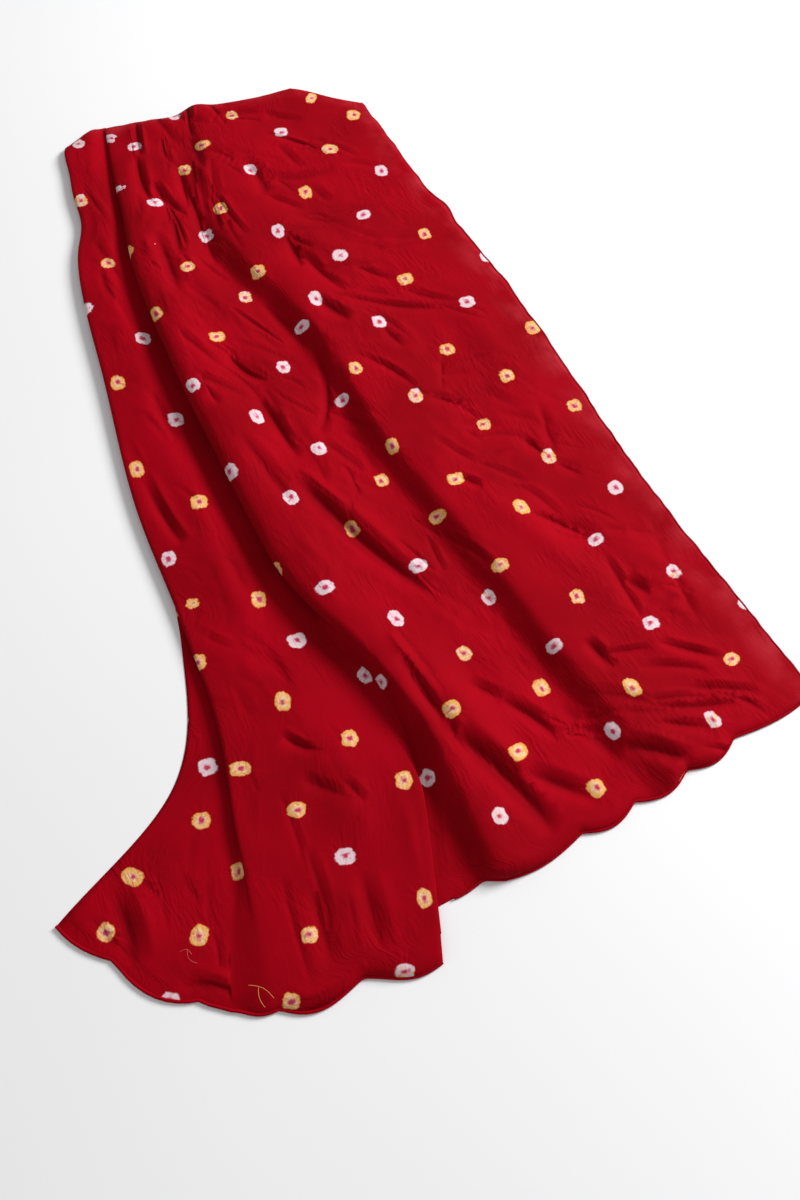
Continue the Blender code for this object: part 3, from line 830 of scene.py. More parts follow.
class Graph:
    """A node tree, with short calls for adding and joining its nodes."""

    def __init__(self, tree: bpy.types.NodeTree) -> None:
        """Keeps the tree."""
        self.tree = tree

    def node(self, kind: str, **settings: object) -> bpy.types.Node:
        """Adds a node and sets its own properties."""
        node = self.tree.nodes.new(kind)
        for name, value in settings.items():
            setattr(node, name, value)
        return node

    def feed(self, socket: bpy.types.NodeSocket, value: object) -> None:
        """Gives an input a value, or joins another node's output to it."""
        if isinstance(value, bpy.types.NodeSocket):
            self.tree.links.new(value, socket)
        else:
            socket.default_value = value

    def sum(self, operation: str, *values: object, clamped: bool = False) -> bpy.types.NodeSocket:
        """A Math node on one, two or three values."""
        node = self.node("ShaderNodeMath", operation=operation, use_clamp=clamped)
        for socket, value in zip(node.inputs, values):
            self.feed(socket, value)
        return node.outputs[0]

    def vector(self, operation: str, *values: object) -> bpy.types.NodeSocket:
        """A Vector Math node that puts out a vector."""
        node = self.node("ShaderNodeVectorMath", operation=operation)
        for socket, value in zip(node.inputs, values):
            self.feed(socket, value)
        return node.outputs["Vector"]

    def step(self, value: object, low: float, high: float) -> bpy.types.NodeSocket:
        """A soft step: 0 where the value is low, 1 where it is high."""
        node = self.node("ShaderNodeMapRange", interpolation_type="SMOOTHSTEP")
        for name, given in (("Value", value), ("From Min", low), ("From Max", high)):
            self.feed(node.inputs[name], given)
        return node.outputs[0]

    def blend(self, share: object, under: object, over: object) -> bpy.types.NodeSocket:
        """One colour laid over another by a share."""
        node = self.node("ShaderNodeMix", data_type="RGBA")
        for index, given in ((0, share), (6, under), (7, over)):
            self.feed(node.inputs[index], given)
        return node.outputs[2]

    def noise(self, place: object, scale: float, detail: float = 2.0) -> bpy.types.NodeSocket:
        """A Noise Texture's value, about 0.5 on average."""
        node = self.node("ShaderNodeTexNoise", noise_dimensions="3D")
        self.feed(node.inputs["Vector"], place)
        self.feed(node.inputs["Scale"], scale)
        self.feed(node.inputs["Detail"], detail)
        return node.outputs[0]

    def uv(self, name: str) -> bpy.types.NodeSocket:
        """A UV map of the piece's own."""
        return self.node("ShaderNodeUVMap", uv_map=name).outputs[0]


class NodeGroups:
    """The effects that the finishes share, each one a node group that is built once."""

    @staticmethod
    def start(name: str, inputs: dict[str, str], outputs: tuple[str, ...]) -> tuple:
        """Starts a group.

        Args:
            name: the group's name.
            inputs: the name and kind of each input.
            outputs: the names of its outputs, which are values.

        Returns:
            The group's tree, a Graph on it, its input node and its output node.
        """
        tree = bpy.data.node_groups.new(name, "ShaderNodeTree")
        for socket, kind in inputs.items():
            tree.interface.new_socket(name=socket, in_out="INPUT", socket_type=kind)
        for socket in outputs:
            tree.interface.new_socket(name=socket, in_out="OUTPUT", socket_type="NodeSocketFloat")
        graph = Graph(tree)
        return tree, graph, graph.node("NodeGroupInput"), graph.node("NodeGroupOutput")

    @classmethod
    def weave(cls) -> bpy.types.NodeTree:
        """A plain weave, with threads of uneven thickness.

        Returns:
            The group: from Cut and Pitch to Height, from 0 to 1.
        """
        kinds = {"Cut": "NodeSocketVector", "Pitch": "NodeSocketFloat"}
        tree, graph, given, result = cls.start("plain weave", kinds, ("Height",))
        split = graph.node("ShaderNodeSeparateXYZ")
        graph.feed(split.inputs[0], given.outputs["Cut"])
        turns = graph.sum("DIVIDE", math.tau / 2, given.outputs["Pitch"])
        warp = graph.sum("SINE", graph.sum("MULTIPLY", split.outputs[0], turns))
        weft = graph.sum("SINE", graph.sum("MULTIPLY", split.outputs[1], turns))
        crossing = graph.sum("MULTIPLY", warp, weft)
        slub = graph.noise(given.outputs["Cut"], 260.0, 2.0)
        height = graph.sum("MULTIPLY_ADD", crossing, 0.35, slub)
        graph.feed(result.inputs["Height"], height)
        return tree

    @classmethod
    def crinkle(cls) -> bpy.types.NodeTree:
        """Fine crinkles of cloth that was tied and never pressed.

        Returns:
            The group: from Cut to Height and Patch, both from 0 to 1.
        """
        tree, graph, given, result = cls.start("crinkle", {"Cut": "NodeSocketVector"}, ("Height", "Patch"))
        cut = given.outputs["Cut"]
        patch = graph.step(graph.noise(cut, 14.0, 1.0), 0.35, 0.68)
        lines = []
        for turned, scale in ((0.55, 95.0), (-0.75, 70.0)):
            mapping = graph.node("ShaderNodeMapping")
            graph.feed(mapping.inputs["Vector"], cut)
            mapping.inputs["Rotation"].default_value = (0.0, 0.0, turned)
            mapping.inputs["Scale"].default_value = (1.0, 0.28, 1.0)
            wave = graph.noise(mapping.outputs[0], scale, 2.5)
            off = graph.sum("ABSOLUTE", graph.sum("SUBTRACT", wave, 0.5))
            lines.append(graph.sum("MULTIPLY", off, 2.4, clamped=True))
        both = graph.sum("MINIMUM", lines[0], lines[1])
        deep = graph.sum("MULTIPLY", graph.sum("SUBTRACT", 1.0, both), patch)
        graph.feed(result.inputs["Height"], graph.sum("SUBTRACT", 1.0, deep))
        graph.feed(result.inputs["Patch"], patch)
        return tree

    @classmethod
    def crease(cls) -> bpy.types.NodeTree:
        """The middle of a crease, with a lower swelling beside it.

        Returns:
            The group: from Crease, the half widths off its middle and its height in millimetres,
            to Height, in millimetres, and Deep, from 0 to 1, the mask of the painted shade in the crease.
        """
        tree, graph, given, result = cls.start("crease", {"Crease": "NodeSocketVector"}, ("Height", "Deep"))
        place = graph.node("ShaderNodeSeparateXYZ")
        graph.feed(place.inputs[0], given.outputs["Crease"])
        falls = []
        for middle in (0.0, 2.2):
            off = graph.sum("SUBTRACT", place.outputs[0], middle)
            squared = graph.sum("MULTIPLY", off, off)
            falls.append(graph.sum("POWER", graph.sum("ADD", squared, 1.0), -1.5))
        shape = graph.sum("MULTIPLY_ADD", falls[1], -0.6, falls[0])
        height = graph.sum("MULTIPLY", place.outputs[1], shape)
        graph.feed(result.inputs["Height"], height)
        # Deep: the mask of the painted shade in the middle of the deeper creases.
        graph.feed(result.inputs["Deep"], graph.step(height, -0.2, -3.0))
        return tree

    @classmethod
    def tied_dot(cls) -> bpy.types.NodeTree:
        """One tied dot: a ragged rounded square of bare cloth with a dyed speck in its middle.

        Returns:
            The group: from Dot, in dot widths from its middle, and Tie to masks and a height.
        """
        kinds = {"Dot": "NodeSocketVector", "Tie": "NodeSocketVector"}
        outputs = ("Bare", "Core", "Yellow", "Orange", "Shade", "Pucker")
        tree, graph, given, result = cls.start("tied dot", kinds, outputs)
        tie = graph.node("ShaderNodeSeparateXYZ")
        graph.feed(tie.inputs[0], given.outputs["Tie"])
        seed = tie.outputs[0]
        place = graph.node("ShaderNodeSeparateXYZ")
        graph.feed(place.inputs[0], given.outputs["Dot"])
        stretch = graph.sum("FRACT", graph.sum("MULTIPLY", seed, 13.0))
        x = graph.sum("MULTIPLY", place.outputs[0], graph.sum("MULTIPLY_ADD", stretch, 0.34, 0.84))
        y = graph.sum("MULTIPLY", place.outputs[1], graph.sum("MULTIPLY_ADD", stretch, -0.34, 1.18))
        squared = [graph.sum("POWER", graph.sum("ABSOLUTE", side), 2.6) for side in (x, y)]
        reach = graph.sum("POWER", graph.sum("ADD", *squared), 1.0 / 2.6)
        joined = graph.node("ShaderNodeCombineXYZ")
        graph.feed(joined.inputs[0], x)
        graph.feed(joined.inputs[1], y)
        graph.feed(joined.inputs[2], graph.sum("MULTIPLY", seed, 37.0))
        rim = graph.noise(joined.outputs[0], 3.2, 5.0)
        ragged = graph.sum("ADD", reach, graph.sum("MULTIPLY", graph.sum("SUBTRACT", rim, 0.5), 0.32))
        size = graph.sum("MULTIPLY_ADD", graph.sum("FRACT", graph.sum("MULTIPLY", seed, 7.0)), 0.09, 0.41)
        bare = graph.step(graph.sum("SUBTRACT", size, ragged), -0.045, 0.045)
        core_rim = graph.sum("ADD", reach, graph.sum("MULTIPLY", graph.sum("SUBTRACT", rim, 0.5), 0.55))
        core = graph.step(core_rim, 0.240, 0.050)
        turned = graph.vector("NORMALIZE", given.outputs["Dot"])
        direction = graph.node("ShaderNodeSeparateXYZ")
        graph.feed(direction.inputs[0], turned)
        spoke_place = graph.node("ShaderNodeCombineXYZ")
        graph.feed(spoke_place.inputs[0], direction.outputs[0])
        graph.feed(spoke_place.inputs[1], direction.outputs[1])
        graph.feed(spoke_place.inputs[2], graph.sum("MULTIPLY", seed, 53.0))
        spokes = graph.noise(spoke_place.outputs[0], 2.6, 2.0)
        blotch = graph.noise(joined.outputs[0], 7.0, 2.0)
        streak = graph.sum("MULTIPLY", graph.step(spokes, 0.50, 0.72), graph.step(blotch, 0.40, 0.66))
        patches = graph.sum("MULTIPLY", graph.sum("SUBTRACT", rim, 0.5), 0.55)
        yellow = graph.step(graph.sum("ADD", patches, seed), 0.44, 0.56)
        fade = graph.sum("MULTIPLY", graph.step(reach, 1.7, 0.60), graph.step(reach, 0.30, 0.60))
        rays = graph.sum("MULTIPLY", graph.sum("SUBTRACT", spokes, 0.5), fade)
        peak = graph.sum("MULTIPLY", graph.step(reach, 0.55, 0.0), 0.35)
        graph.feed(result.inputs["Bare"], bare)
        graph.feed(result.inputs["Core"], core)
        orange = graph.sum("ADD", reach, graph.sum("SUBTRACT", blotch, 0.5))
        graph.feed(result.inputs["Orange"], graph.step(orange, 0.08, 0.46))
        graph.feed(result.inputs["Yellow"], yellow)
        graph.feed(result.inputs["Shade"], streak)
        graph.feed(result.inputs["Pucker"], graph.sum("ADD", graph.sum("MULTIPLY", rays, 2.0), peak))
        return tree


class ClothMaterials:
    """The materials of the cloth and of its hem."""

    def __init__(self, cotton: DyedCotton, ties: TieFinish) -> None:
        """Builds the shared node groups for these finishes."""
        self.cotton = cotton
        self.ties = ties
        self.weave = NodeGroups.weave()
        self.crinkle = NodeGroups.crinkle()
        self.crease = NodeGroups.crease()
        self.tied_dot = NodeGroups.tied_dot()

    def start(self, name: str) -> tuple[bpy.types.Material, Graph, bpy.types.Node]:
        """A new material, a Graph on its tree and its shader."""
        material = bpy.data.materials.new(name)
        material.use_nodes = True
        graph = Graph(material.node_tree)
        shader = material.node_tree.nodes["Principled BSDF"]
        shader.inputs["Roughness"].default_value = self.cotton.roughness
        shader.inputs["Specular IOR Level"].default_value = self.cotton.specular
        shader.inputs["Sheen Weight"].default_value = self.cotton.sheen
        shader.inputs["Sheen Roughness"].default_value = 0.5
        return material, graph, shader

    def bump(self, graph: Graph, height: object, depth: float, under: object = None) -> bpy.types.NodeSocket:
        """A Bump node of a depth in metres, laid over another normal if one is given."""
        node = graph.node("ShaderNodeBump")
        node.inputs["Distance"].default_value = depth
        graph.feed(node.inputs["Height"], height)
        if under is not None:
            graph.feed(node.inputs["Normal"], under)
        return node.outputs[0]

    def cloth(self) -> bpy.types.Material:
        """The tie-dyed cloth's material: red dye, tied dots, crinkles and weave, with painted shade in the
        creases and a painted glow near the right and top edges.

        Returns:
            The material, which reads the sheet's UV maps cut, crease, dot and tie.
        """
        cotton, ties = self.cotton, self.ties
        material, graph, shader = self.start(cotton.name)
        cut, tie = graph.uv("cut"), graph.uv("tie")
        dot = graph.node("ShaderNodeGroup", node_tree=self.tied_dot)
        graph.feed(dot.inputs["Dot"], graph.uv("dot"))
        graph.feed(dot.inputs["Tie"], tie)
        crinkle = graph.node("ShaderNodeGroup", node_tree=self.crinkle)
        graph.feed(crinkle.inputs["Cut"], cut)
        weave = graph.node("ShaderNodeGroup", node_tree=self.weave)
        graph.feed(weave.inputs["Cut"], cut)
        graph.feed(weave.inputs["Pitch"], cotton.thread_pitch)
        split = graph.node("ShaderNodeSeparateXYZ")
        graph.feed(split.inputs[0], tie)
        # Painted glow: near the right and top edges the red is lightened in patches, as if the floor's light
        # showed through the single layer.
        painted_glow_edge = graph.step(split.outputs[1], 0.035, 0.002)
        uneven = graph.step(graph.noise(cut, 9.0, 4.0), 0.32, 0.72)
        dye = graph.blend(uneven, (*cotton.red, 1.0), (*cotton.deep_red, 1.0))
        mottle = graph.sum("MULTIPLY", graph.step(graph.noise(cut, 420.0, 2.0), 0.5, 0.9), 0.35)
        dye = graph.blend(mottle, dye, (*cotton.deep_red, 1.0))
        patchy_painted_glow = graph.sum("MULTIPLY", painted_glow_edge, graph.step(graph.noise(cut, 22.0, 3.0), 0.35, 0.75))
        dye = graph.blend(patchy_painted_glow, dye, (*cotton.painted_edge_glow_red, 1.0))
        yellow = graph.blend(dot.outputs["Orange"], (*ties.peach, 1.0), (*ties.orange, 1.0))
        bare = graph.blend(dot.outputs["Yellow"], (*ties.white, 1.0), yellow)
        blush = graph.sum("MULTIPLY", dot.outputs["Shade"], 0.62)
        bare = graph.blend(blush, bare, (*ties.core, 1.0))
        bare = graph.blend(dot.outputs["Core"], bare, (*ties.core, 1.0))
        crease = graph.node("ShaderNodeGroup", node_tree=self.crease)
        graph.feed(crease.inputs["Crease"], graph.uv("crease"))
        colour = graph.blend(dot.outputs["Bare"], dye, bare)
        # Painted shade: the middle of each deeper crease is darkened towards a dark red in the base colour.
        deep = graph.sum("MULTIPLY", crease.outputs["Deep"], 0.36)
        graph.feed(shader.inputs["Base Color"], graph.blend(deep, colour, (*cotton.painted_crease_shade_red, 1.0)))
        normal = self.bump(graph, crease.outputs["Height"], 1.0 * MM)
        normal = self.bump(graph, crinkle.outputs["Height"], 1.3 * MM, normal)
        normal = self.bump(graph, dot.outputs["Pucker"], ties.pucker, normal)
        normal = self.bump(graph, weave.outputs["Height"], cotton.weave_depth, normal)
        graph.feed(shader.inputs["Normal"], normal)
        return material

    def trim(self, name: str, dyes: tuple[tuple, tuple]) -> bpy.types.Material:
        """The material of the hem or the seam: uneven dye, with slanted stitches.

        Args:
            name: the material's name.
            dyes: the two colours between which the dye wanders.

        Returns:
            The material, which reads Object coordinates.
        """
        material, graph, shader = self.start(name)
        place = graph.node("ShaderNodeTexCoord").outputs["Object"]
        uneven = graph.step(graph.noise(place, 30.0, 3.0), 0.3, 0.75)
        graph.feed(shader.inputs["Base Color"], graph.blend(uneven, *((*dye, 1.0) for dye in dyes)))
        stitches = graph.noise(place, 380.0, 1.0)
        graph.feed(shader.inputs["Normal"], self.bump(graph, stitches, 0.4 * MM))
        return material


# The sheet


@dataclass
class Weft:
    """How finely the sheet is divided: steps across each stretch, and rows from top to hem."""

    steps: dict[Stretch, int] = field(
        default_factory=lambda: {
            Stretch.OUTER_RUN: 18, Stretch.TUCK_TURN: 6, Stretch.UNDER_RUN: 6,
            Stretch.LEFT_TURN: 7, Stretch.PANEL: 32, Stretch.INNER_TURN: 6,
            Stretch.INNER_RUN: 6, Stretch.NOSE_TURN: 12, Stretch.RISE: 14,
            Stretch.SLOPE: 12, Stretch.HOLLOW: 20, Stretch.CREST: 9,
            Stretch.SPREAD: 20, Stretch.EDGE: 18,
        }
    )
    body_rows: int = 236
    top_rows: tuple[float, ...] = (0.0, 0.15, 0.5, 1.0)
    hem_rows: tuple[float, ...] = (0.66, 0.33, 0.12, 0.0)

    def columns(self) -> list[tuple[Stretch, float]]:
        """Every column as a stretch and a share of it, from the outer edge to the right edge."""
        places = [(Stretch.OUTER_RUN, 0.0)]
        for stretch, steps in self.steps.items():
            places += [(stretch, step / steps) for step in range(1, steps + 1)]
        return places

    def rows(self, folds: Folds) -> list[float]:
        """Every row as t: a few over the rolled top edge, even steps, a few over the hem."""
        top = [folds.top_roll * share for share in self.top_rows]
        end = 1.0 - folds.hem_roll
        body = [mix(folds.top_roll, end, step / self.body_rows) for step in range(1, self.body_rows + 1)]
        return top + body + [1.0 - folds.hem_roll * share for share in self.hem_rows]


@dataclass
class DotLattice:
    """The layout of the tied dots on the flat cloth: staggered rows, as tied by hand.

    Sizes are in metres on the cloth, across from its right edge and along from its middle row.
    """

    first: tuple[float, float] = (0.0525, -0.1243)
    across: tuple[float, float] = (0.0980, -0.0053)
    along: tuple[float, float] = (0.0098, 0.1055)
    jitter: float = 3.0 * MM
    seed: int = 11

    def nearest(self, cut: np.ndarray) -> tuple[np.ndarray, np.ndarray]:
        """The dot nearest to each place on the cloth.

        Args:
            cut: the places, as rows of (across, along).

        Returns:
            The number of each place's dot, and the dots' middles, as rows of (across, along).
        """
        size = 64
        jitter = np.random.default_rng(self.seed).uniform(-1.0, 1.0, (size, size, 2)) * self.jitter
        cell = np.array((self.across, self.along))
        steps = (cut - self.first) @ np.linalg.inv(cell)
        best = np.full(len(cut), np.inf)
        number = np.zeros(len(cut), dtype=int)
        middles = np.zeros((len(cut), 2))
        for half in (0, 1):
            whole = np.round(steps - half / 2).astype(int)
            place = whole + half / 2
            keys = np.round(place * 2).astype(int) + size // 2
            keys = np.clip(keys, 0, size - 1)
            middle = place @ cell + self.first + jitter[keys[:, 0], keys[:, 1]]
            distance = np.linalg.norm(cut - middle, axis=1)
            nearer = distance < best
            best = np.where(nearer, distance, best)
            number = np.where(nearer, keys[:, 0] * size + keys[:, 1], number)
            middles[nearer] = middle[nearer]
        return number, middles

    def tie_seed(self, number: np.ndarray) -> np.ndarray:
        """One value from 0 to 1 for each dot, which sets its colour and its rim."""
        return np.random.default_rng(self.seed + 1).uniform(0.0, 1.0, 64 * 64)[number]


@dataclass
class Sheet:
    """The tie-dyed sheet itself."""

    folds: Folds
    weft: Weft
    lattice: DotLattice
    ties: TieFinish
    thickness: float = 0.6 * MM
    scallop_depth: float = 0.009
    scallop_rows: float = 0.030
    sag: float = 0.5 * MM
    crease_depth: float = 1.5
    edge_wander: float = 1.8 * MM
    billow: float = 1.4 * MM
    crimp: float = 0.8 * MM
    points: np.ndarray = field(default_factory=lambda: np.zeros((0, 0, 3)))
    cut: np.ndarray = field(default_factory=lambda: np.zeros((0, 0, 2)))
    taken: np.ndarray = field(default_factory=lambda: np.zeros((0, 0)))
    slid: np.ndarray = field(default_factory=lambda: np.zeros(0))
    drifted: np.ndarray = field(default_factory=lambda: np.zeros((0, 0, 2)))
    gathered: np.ndarray = field(default_factory=lambda: np.zeros(0))
    opened: np.ndarray = field(default_factory=lambda: np.zeros((0, 0)))
    pulled: np.ndarray = field(default_factory=lambda: np.zeros((0, 0, 2)))

    def drape(self) -> None:
        """Works out where every point of the sheet lies, and where it lay on the flat cloth."""
        places, rows = self.weft.columns(), self.weft.rows(self.folds)
        grid = [[self.folds.point(stretch, f, t) for stretch, f in places] for t in rows]
        self.points = np.array([[tuple(point) for point in row] for row in grid])
        self.taken = np.array([[self.folds.take_up(s, f, t) for s, f in places] for t in rows])
        self.slid = np.array([self.folds.slide(s, f) for s, f in places])
        self.gathered = np.array([1.0 + TOP_TAKE_UP * (1.0 - ease_over(TOP_GATHERS, t)) for t in rows])
        self.drifted = self.drift(places, rows)
        self.cut = self.measure()
        self.crease(places, rows)
        self.tug()
        self.scallop(rows)
        self.cut = self.measure()

    def measure(self) -> np.ndarray:
        """How far each point lies across from the right edge and along from the middle row.

        Returns:
            Rows and columns of (across, along), in metres along the cloth.
        """
        across = np.linalg.norm(np.diff(self.points, axis=1), axis=2) * self.taken[:, 1:]
        across = np.cumsum(across[:, ::-1], axis=1)[:, ::-1]
        across = np.pad(across, ((0, 0), (0, 1)))
        down = np.linalg.norm(np.diff(self.points, axis=0), axis=2) * self.gathered[1:, None]
        down = np.pad(np.cumsum(down, axis=0), ((1, 0), (0, 0)))
        down = down - down[len(down) // 2] + self.slid
        return np.stack((across, down), axis=2) + self.drifted

    @staticmethod
    def drift(places: list[tuple[Stretch, float]], rows: list[float]) -> np.ndarray:
        """How far the left panel's cloth is drawn aside before it is folded.

        Args:
            places: the columns, as a stretch and a share of it.
            rows: the rows, as shares of the cloth's length.

        Returns:
            Rows and columns of (across, along), in metres along the cloth.
        """
        table = np.array(PANEL_DRIFT)
        drawn = np.stack([np.interp(rows, table[:, 0], table[:, k]) for k in (1, 2)], axis=1)
        fading = (Stretch.INNER_TURN, Stretch.INNER_RUN, Stretch.NOSE_TURN)
        order = list(Stretch)
        share = []
        for stretch, f in places:
            if stretch in fading:
                share.append(1.0 - (fading.index(stretch) + f) / len(fading))
            else:
                share.append(float(order.index(stretch) < order.index(Stretch.INNER_TURN)))
        return drawn[:, None, :] * np.array(share)[None, :, None]

    def crease(self, places: list[tuple[Stretch, float]], rows: list[float]) -> None:
        """Adds the creases, the billows between them and the crimp of unpressed cloth.

        Args:
            places: the columns, as a stretch and a share of it.
            rows: the rows, as shares of the cloth's length.
        """
        self.opened = np.array([[self.folds.open_share(s, f, t) for s, f in places] for t in rows])
        roll = np.array([self.folds.edge_roll(t) for t in rows])[:, None]
        plan = self.points[:, :, :2].reshape(-1, 2)
        relief = np.zeros(len(plan))
        for start, end, half_width, rise in BROAD_CREASES:
            run = np.array(end) - np.array(start)
            share = np.clip((plan - start) @ run / (run @ run), 0.0, 1.0)
            distance = np.linalg.norm(plan - start - share[:, None] * run, axis=1)
            relief += rise * np.sin(math.pi * share) * np.exp(-((distance / half_width) ** 2))
        for fine in FINE_CREASES:
            relief += fine.relief(plan) * self.crease_depth
        flat = self.cut.reshape(-1, 2)
        relief += self.billow * np.array([noise.noise((u * 24, v * 18, 2.7)) for u, v in flat])
        relief += self.crimp * np.array([self.crimp_at(u, v) for u, v in flat])
        shape = self.points.shape[:2]
        self.points[:, :, 2] += relief.reshape(shape) * self.opened * roll - self.sag
        np.clip(self.points[:, :, 2], self.thickness / 2, None, out=self.points[:, :, 2])

    def tug(self) -> None:
        """Pulls the sheet out of its fold lines at the listed tugs, and lets its right edge wander a little.
        """
        plan = self.points[:, :, :2]
        moved = np.zeros_like(plan) + CENTRING
        for place, pull, reach in TUGS:
            distance = np.linalg.norm(plan - place, axis=2) / reach
            moved += np.exp(-(distance**2))[:, :, None] * pull
        plan += moved
        self.pulled = moved
        for row, (_, v) in zip(plan, self.cut[:, -1]):
            wander = noise.noise((v * 26, 3.1, 0.0)) + 0.6 * noise.noise((v * 85, 8.4, 0.0))
            row[-4:, 0] += self.edge_wander * wander * np.array((0.25, 0.5, 0.75, 1.0))

    def crimp_at(self, u: float, v: float) -> float:
        """The crimp at one place on the flat cloth: slanted ridges that come and go."""
        patch = ease(noise.noise((u * 11, v * 11, 9.1)) * 1.6 + 0.5)
        one = abs(noise.noise((u * 62 + v * 28, v * 26 - u * 12, 4.2)))
        two = abs(noise.noise((u * 50 - v * 40, v * 22 + u * 18, 7.9)))
        return (one + two * 0.8) * patch * 2.2 - 0.5

    def scallop(self, rows: list[float]) -> None:
        """Draws the notches of the hem back, by the cloth's length along its last row."""
        hem = self.points[-1]
        steps = np.linalg.norm(np.diff(hem, axis=0), axis=1)
        travelled = np.concatenate(([0.0], np.cumsum(steps)))
        gap = np.searchsorted(NOTCHES, travelled)
        start, end = np.array(NOTCHES)[gap - 1], np.array(NOTCHES)[gap]
        notch = 1.0 - np.sin(math.pi * (travelled - start) / (end - start))
        back = np.searchsorted(rows, 1.0 - self.scallop_rows)
        inwards = self.points[back] - hem
        inwards[:, 2] = 0.0
        inwards /= np.maximum(np.linalg.norm(inwards, axis=1), 1e-6)[:, None]
        for i in range(back, len(rows)):
            share = ease((rows[i] - rows[back]) / (1.0 - rows[back]) * 1.4)
            self.points[i] += inwards * (self.scallop_depth * notch * share)[:, None]

    def tie_maps(self) -> tuple[np.ndarray, np.ndarray]:
        """Where every corner of every face lies on its own dot.

        Returns:
            The corners' places in dot widths from the dot's middle, as rows, columns, corners and
            (x, y), and one seed for each face.
        """
        flat = self.face_corners(self.cut).reshape(-1, 4, 2)
        solid = self.face_corners(self.points).reshape(-1, 4, 3)
        middle, centre = flat.mean(axis=1), solid.mean(axis=1)
        number, dot = self.lattice.nearest(middle)
        along_row, down = solid[:, 1] - solid[:, 0], solid[:, 3] - solid[:, 0]
        steps = np.stack((flat[:, 1] - flat[:, 0], flat[:, 3] - flat[:, 0]), axis=1)
        shares = np.einsum("ni,nij->nj", dot - middle, np.linalg.pinv(steps))
        tied = centre + shares[:, :1] * along_row + shares[:, 1:] * down
        first = along_row / np.maximum(np.linalg.norm(along_row, axis=1), 1e-7)[:, None]
        second = down - (down * first).sum(axis=1)[:, None] * first
        second /= np.maximum(np.linalg.norm(second, axis=1), 1e-7)[:, None]
        nearest_last = np.argsort(-np.linalg.norm(middle - dot, axis=1))
        own_face = np.zeros(64 * 64, dtype=int)
        own_face[number[nearest_last]] = nearest_last
        face = own_face[number]
        offset = (solid - tied[face][:, None, :]) / self.ties.width
        placed = np.stack(
            ((offset * first[face][:, None, :]).sum(axis=2), (offset * second[face][:, None, :]).sum(axis=2)),
            axis=2,
        )
        chord = np.linalg.norm(offset, axis=2) / np.maximum(np.linalg.norm(placed, axis=2), 1e-6)
        placed *= chord[:, :, None]
        shape = (self.points.shape[0] - 1, self.points.shape[1] - 1)
        return placed.reshape(*shape, 4, 2), self.lattice.tie_seed(number).reshape(shape)

    def crease_map(self, open_share: np.ndarray) -> np.ndarray:
        """Where every corner of every face lies beside its own crease.

        Args:
            open_share: how far the creases show at each row and column, from 0 to 1.

        Returns:
            The corners' places as rows, columns, corners and the pair of half widths off the
            crease's middle and its height there in millimetres.
        """
        before = self.points[:, :, :2] - self.pulled
        corners = self.face_corners(before).reshape(-1, 4, 2)
        middle = corners.mean(axis=1)
        plan = before.reshape(-1, 2)
        best, second = np.full(len(plan), 0.02 * MM), np.full(len(plan), 0.01 * MM)
        nearest = np.full(len(middle), 0.02 * MM)
        placed = np.tile((9.0, 0.0), (len(middle), 4, 1))
        groups = [group.creases(seed) for seed, group in enumerate(WRINKLE_GROUPS, start=20)]
        for crease in sum(groups, list(FINE_CREASES)):
            here = np.abs(crease.relief(plan))
            second = np.maximum(second, np.minimum(best, here))
            best = np.maximum(best, here)
            strength = np.abs(crease.relief(middle))
            own = strength > nearest
            nearest = np.where(own, strength, nearest)
            off, _, height = crease.placed(corners[own].reshape(-1, 2))
            placed[own] = np.stack((off, height / MM), axis=1).reshape(-1, 4, 2)
        alone = (1.0 - (second / best) ** 2).reshape(open_share.shape)
        placed[:, :, 1] *= self.face_corners(open_share * alone).reshape(-1, 4)
        return placed.reshape(self.points.shape[0] - 1, self.points.shape[1] - 1, 4, 2)

    @staticmethod
    def face_corners(values: np.ndarray) -> np.ndarray:
        """The four corners of each face: left and right above, then right and left below."""
        return np.stack(
            (values[:-1, :-1], values[:-1, 1:], values[1:, 1:], values[1:, :-1]), axis=2
        )

    def build(self, material: bpy.types.Material) -> bpy.types.Object:
        """Builds the sheet's mesh with its UV maps and gives it its thickness.

        Args:
            material: the cloth's material.

        Returns:
            The finished sheet.
        """
        self.drape()
        down, across = self.points.shape[0] - 1, self.points.shape[1] - 1
        dots, seeds = self.tie_maps()
        creases = self.crease_map(self.opened)
        edge = self.edge_distance()
        bm = bmesh.new()
        bmesh.ops.create_grid(bm, x_segments=across, y_segments=down, size=1.0)
        maps = {name: bm.loops.layers.uv.new(name) for name in ("cut", "crease", "dot", "tie")}
        where = {}
        for vert in bm.verts:
            column = round((vert.co.x + 1.0) / 2 * across)
            row = round((1.0 - vert.co.y) / 2 * down)
            where[vert.index] = (row, column)
            vert.co = self.points[row, column]
        corner = {(0, 0): 0, (0, 1): 1, (1, 1): 2, (1, 0): 3}
        for face in bm.faces:
            spots = [where[loop.vert.index] for loop in face.loops]
            top, left = min(row for row, _ in spots), min(column for _, column in spots)
            for loop, (row, column) in zip(face.loops, spots):
                k = corner[(row - top, column - left)]
                loop[maps["cut"]].uv = self.cut[row, column]
                loop[maps["crease"]].uv = creases[top, left, k]
                loop[maps["dot"]].uv = dots[top, left, k]
                loop[maps["tie"]].uv = (seeds[top, left], edge[row, column])
        mesh = bpy.data.meshes.new("tie-dyed_sheet")
        bm.to_mesh(mesh)
        bm.free()
        mesh.shade_smooth()
        mesh.materials.append(material)
        sheet = bpy.data.objects.new("tie-dyed_sheet", mesh)
        bpy.context.scene.collection.objects.link(sheet)
        wall = sheet.modifiers.new("thickness", "SOLIDIFY")
        wall.thickness = self.thickness
        wall.offset = 0.0
        return sheet

    def edge_distance(self) -> np.ndarray:
        """How far each point lies from the right edge or the top edge, along the cloth."""
        from_top = self.cut[:, :, 1] - self.cut[0, :, 1]
        return np.minimum(self.cut[:, :, 0], from_top)


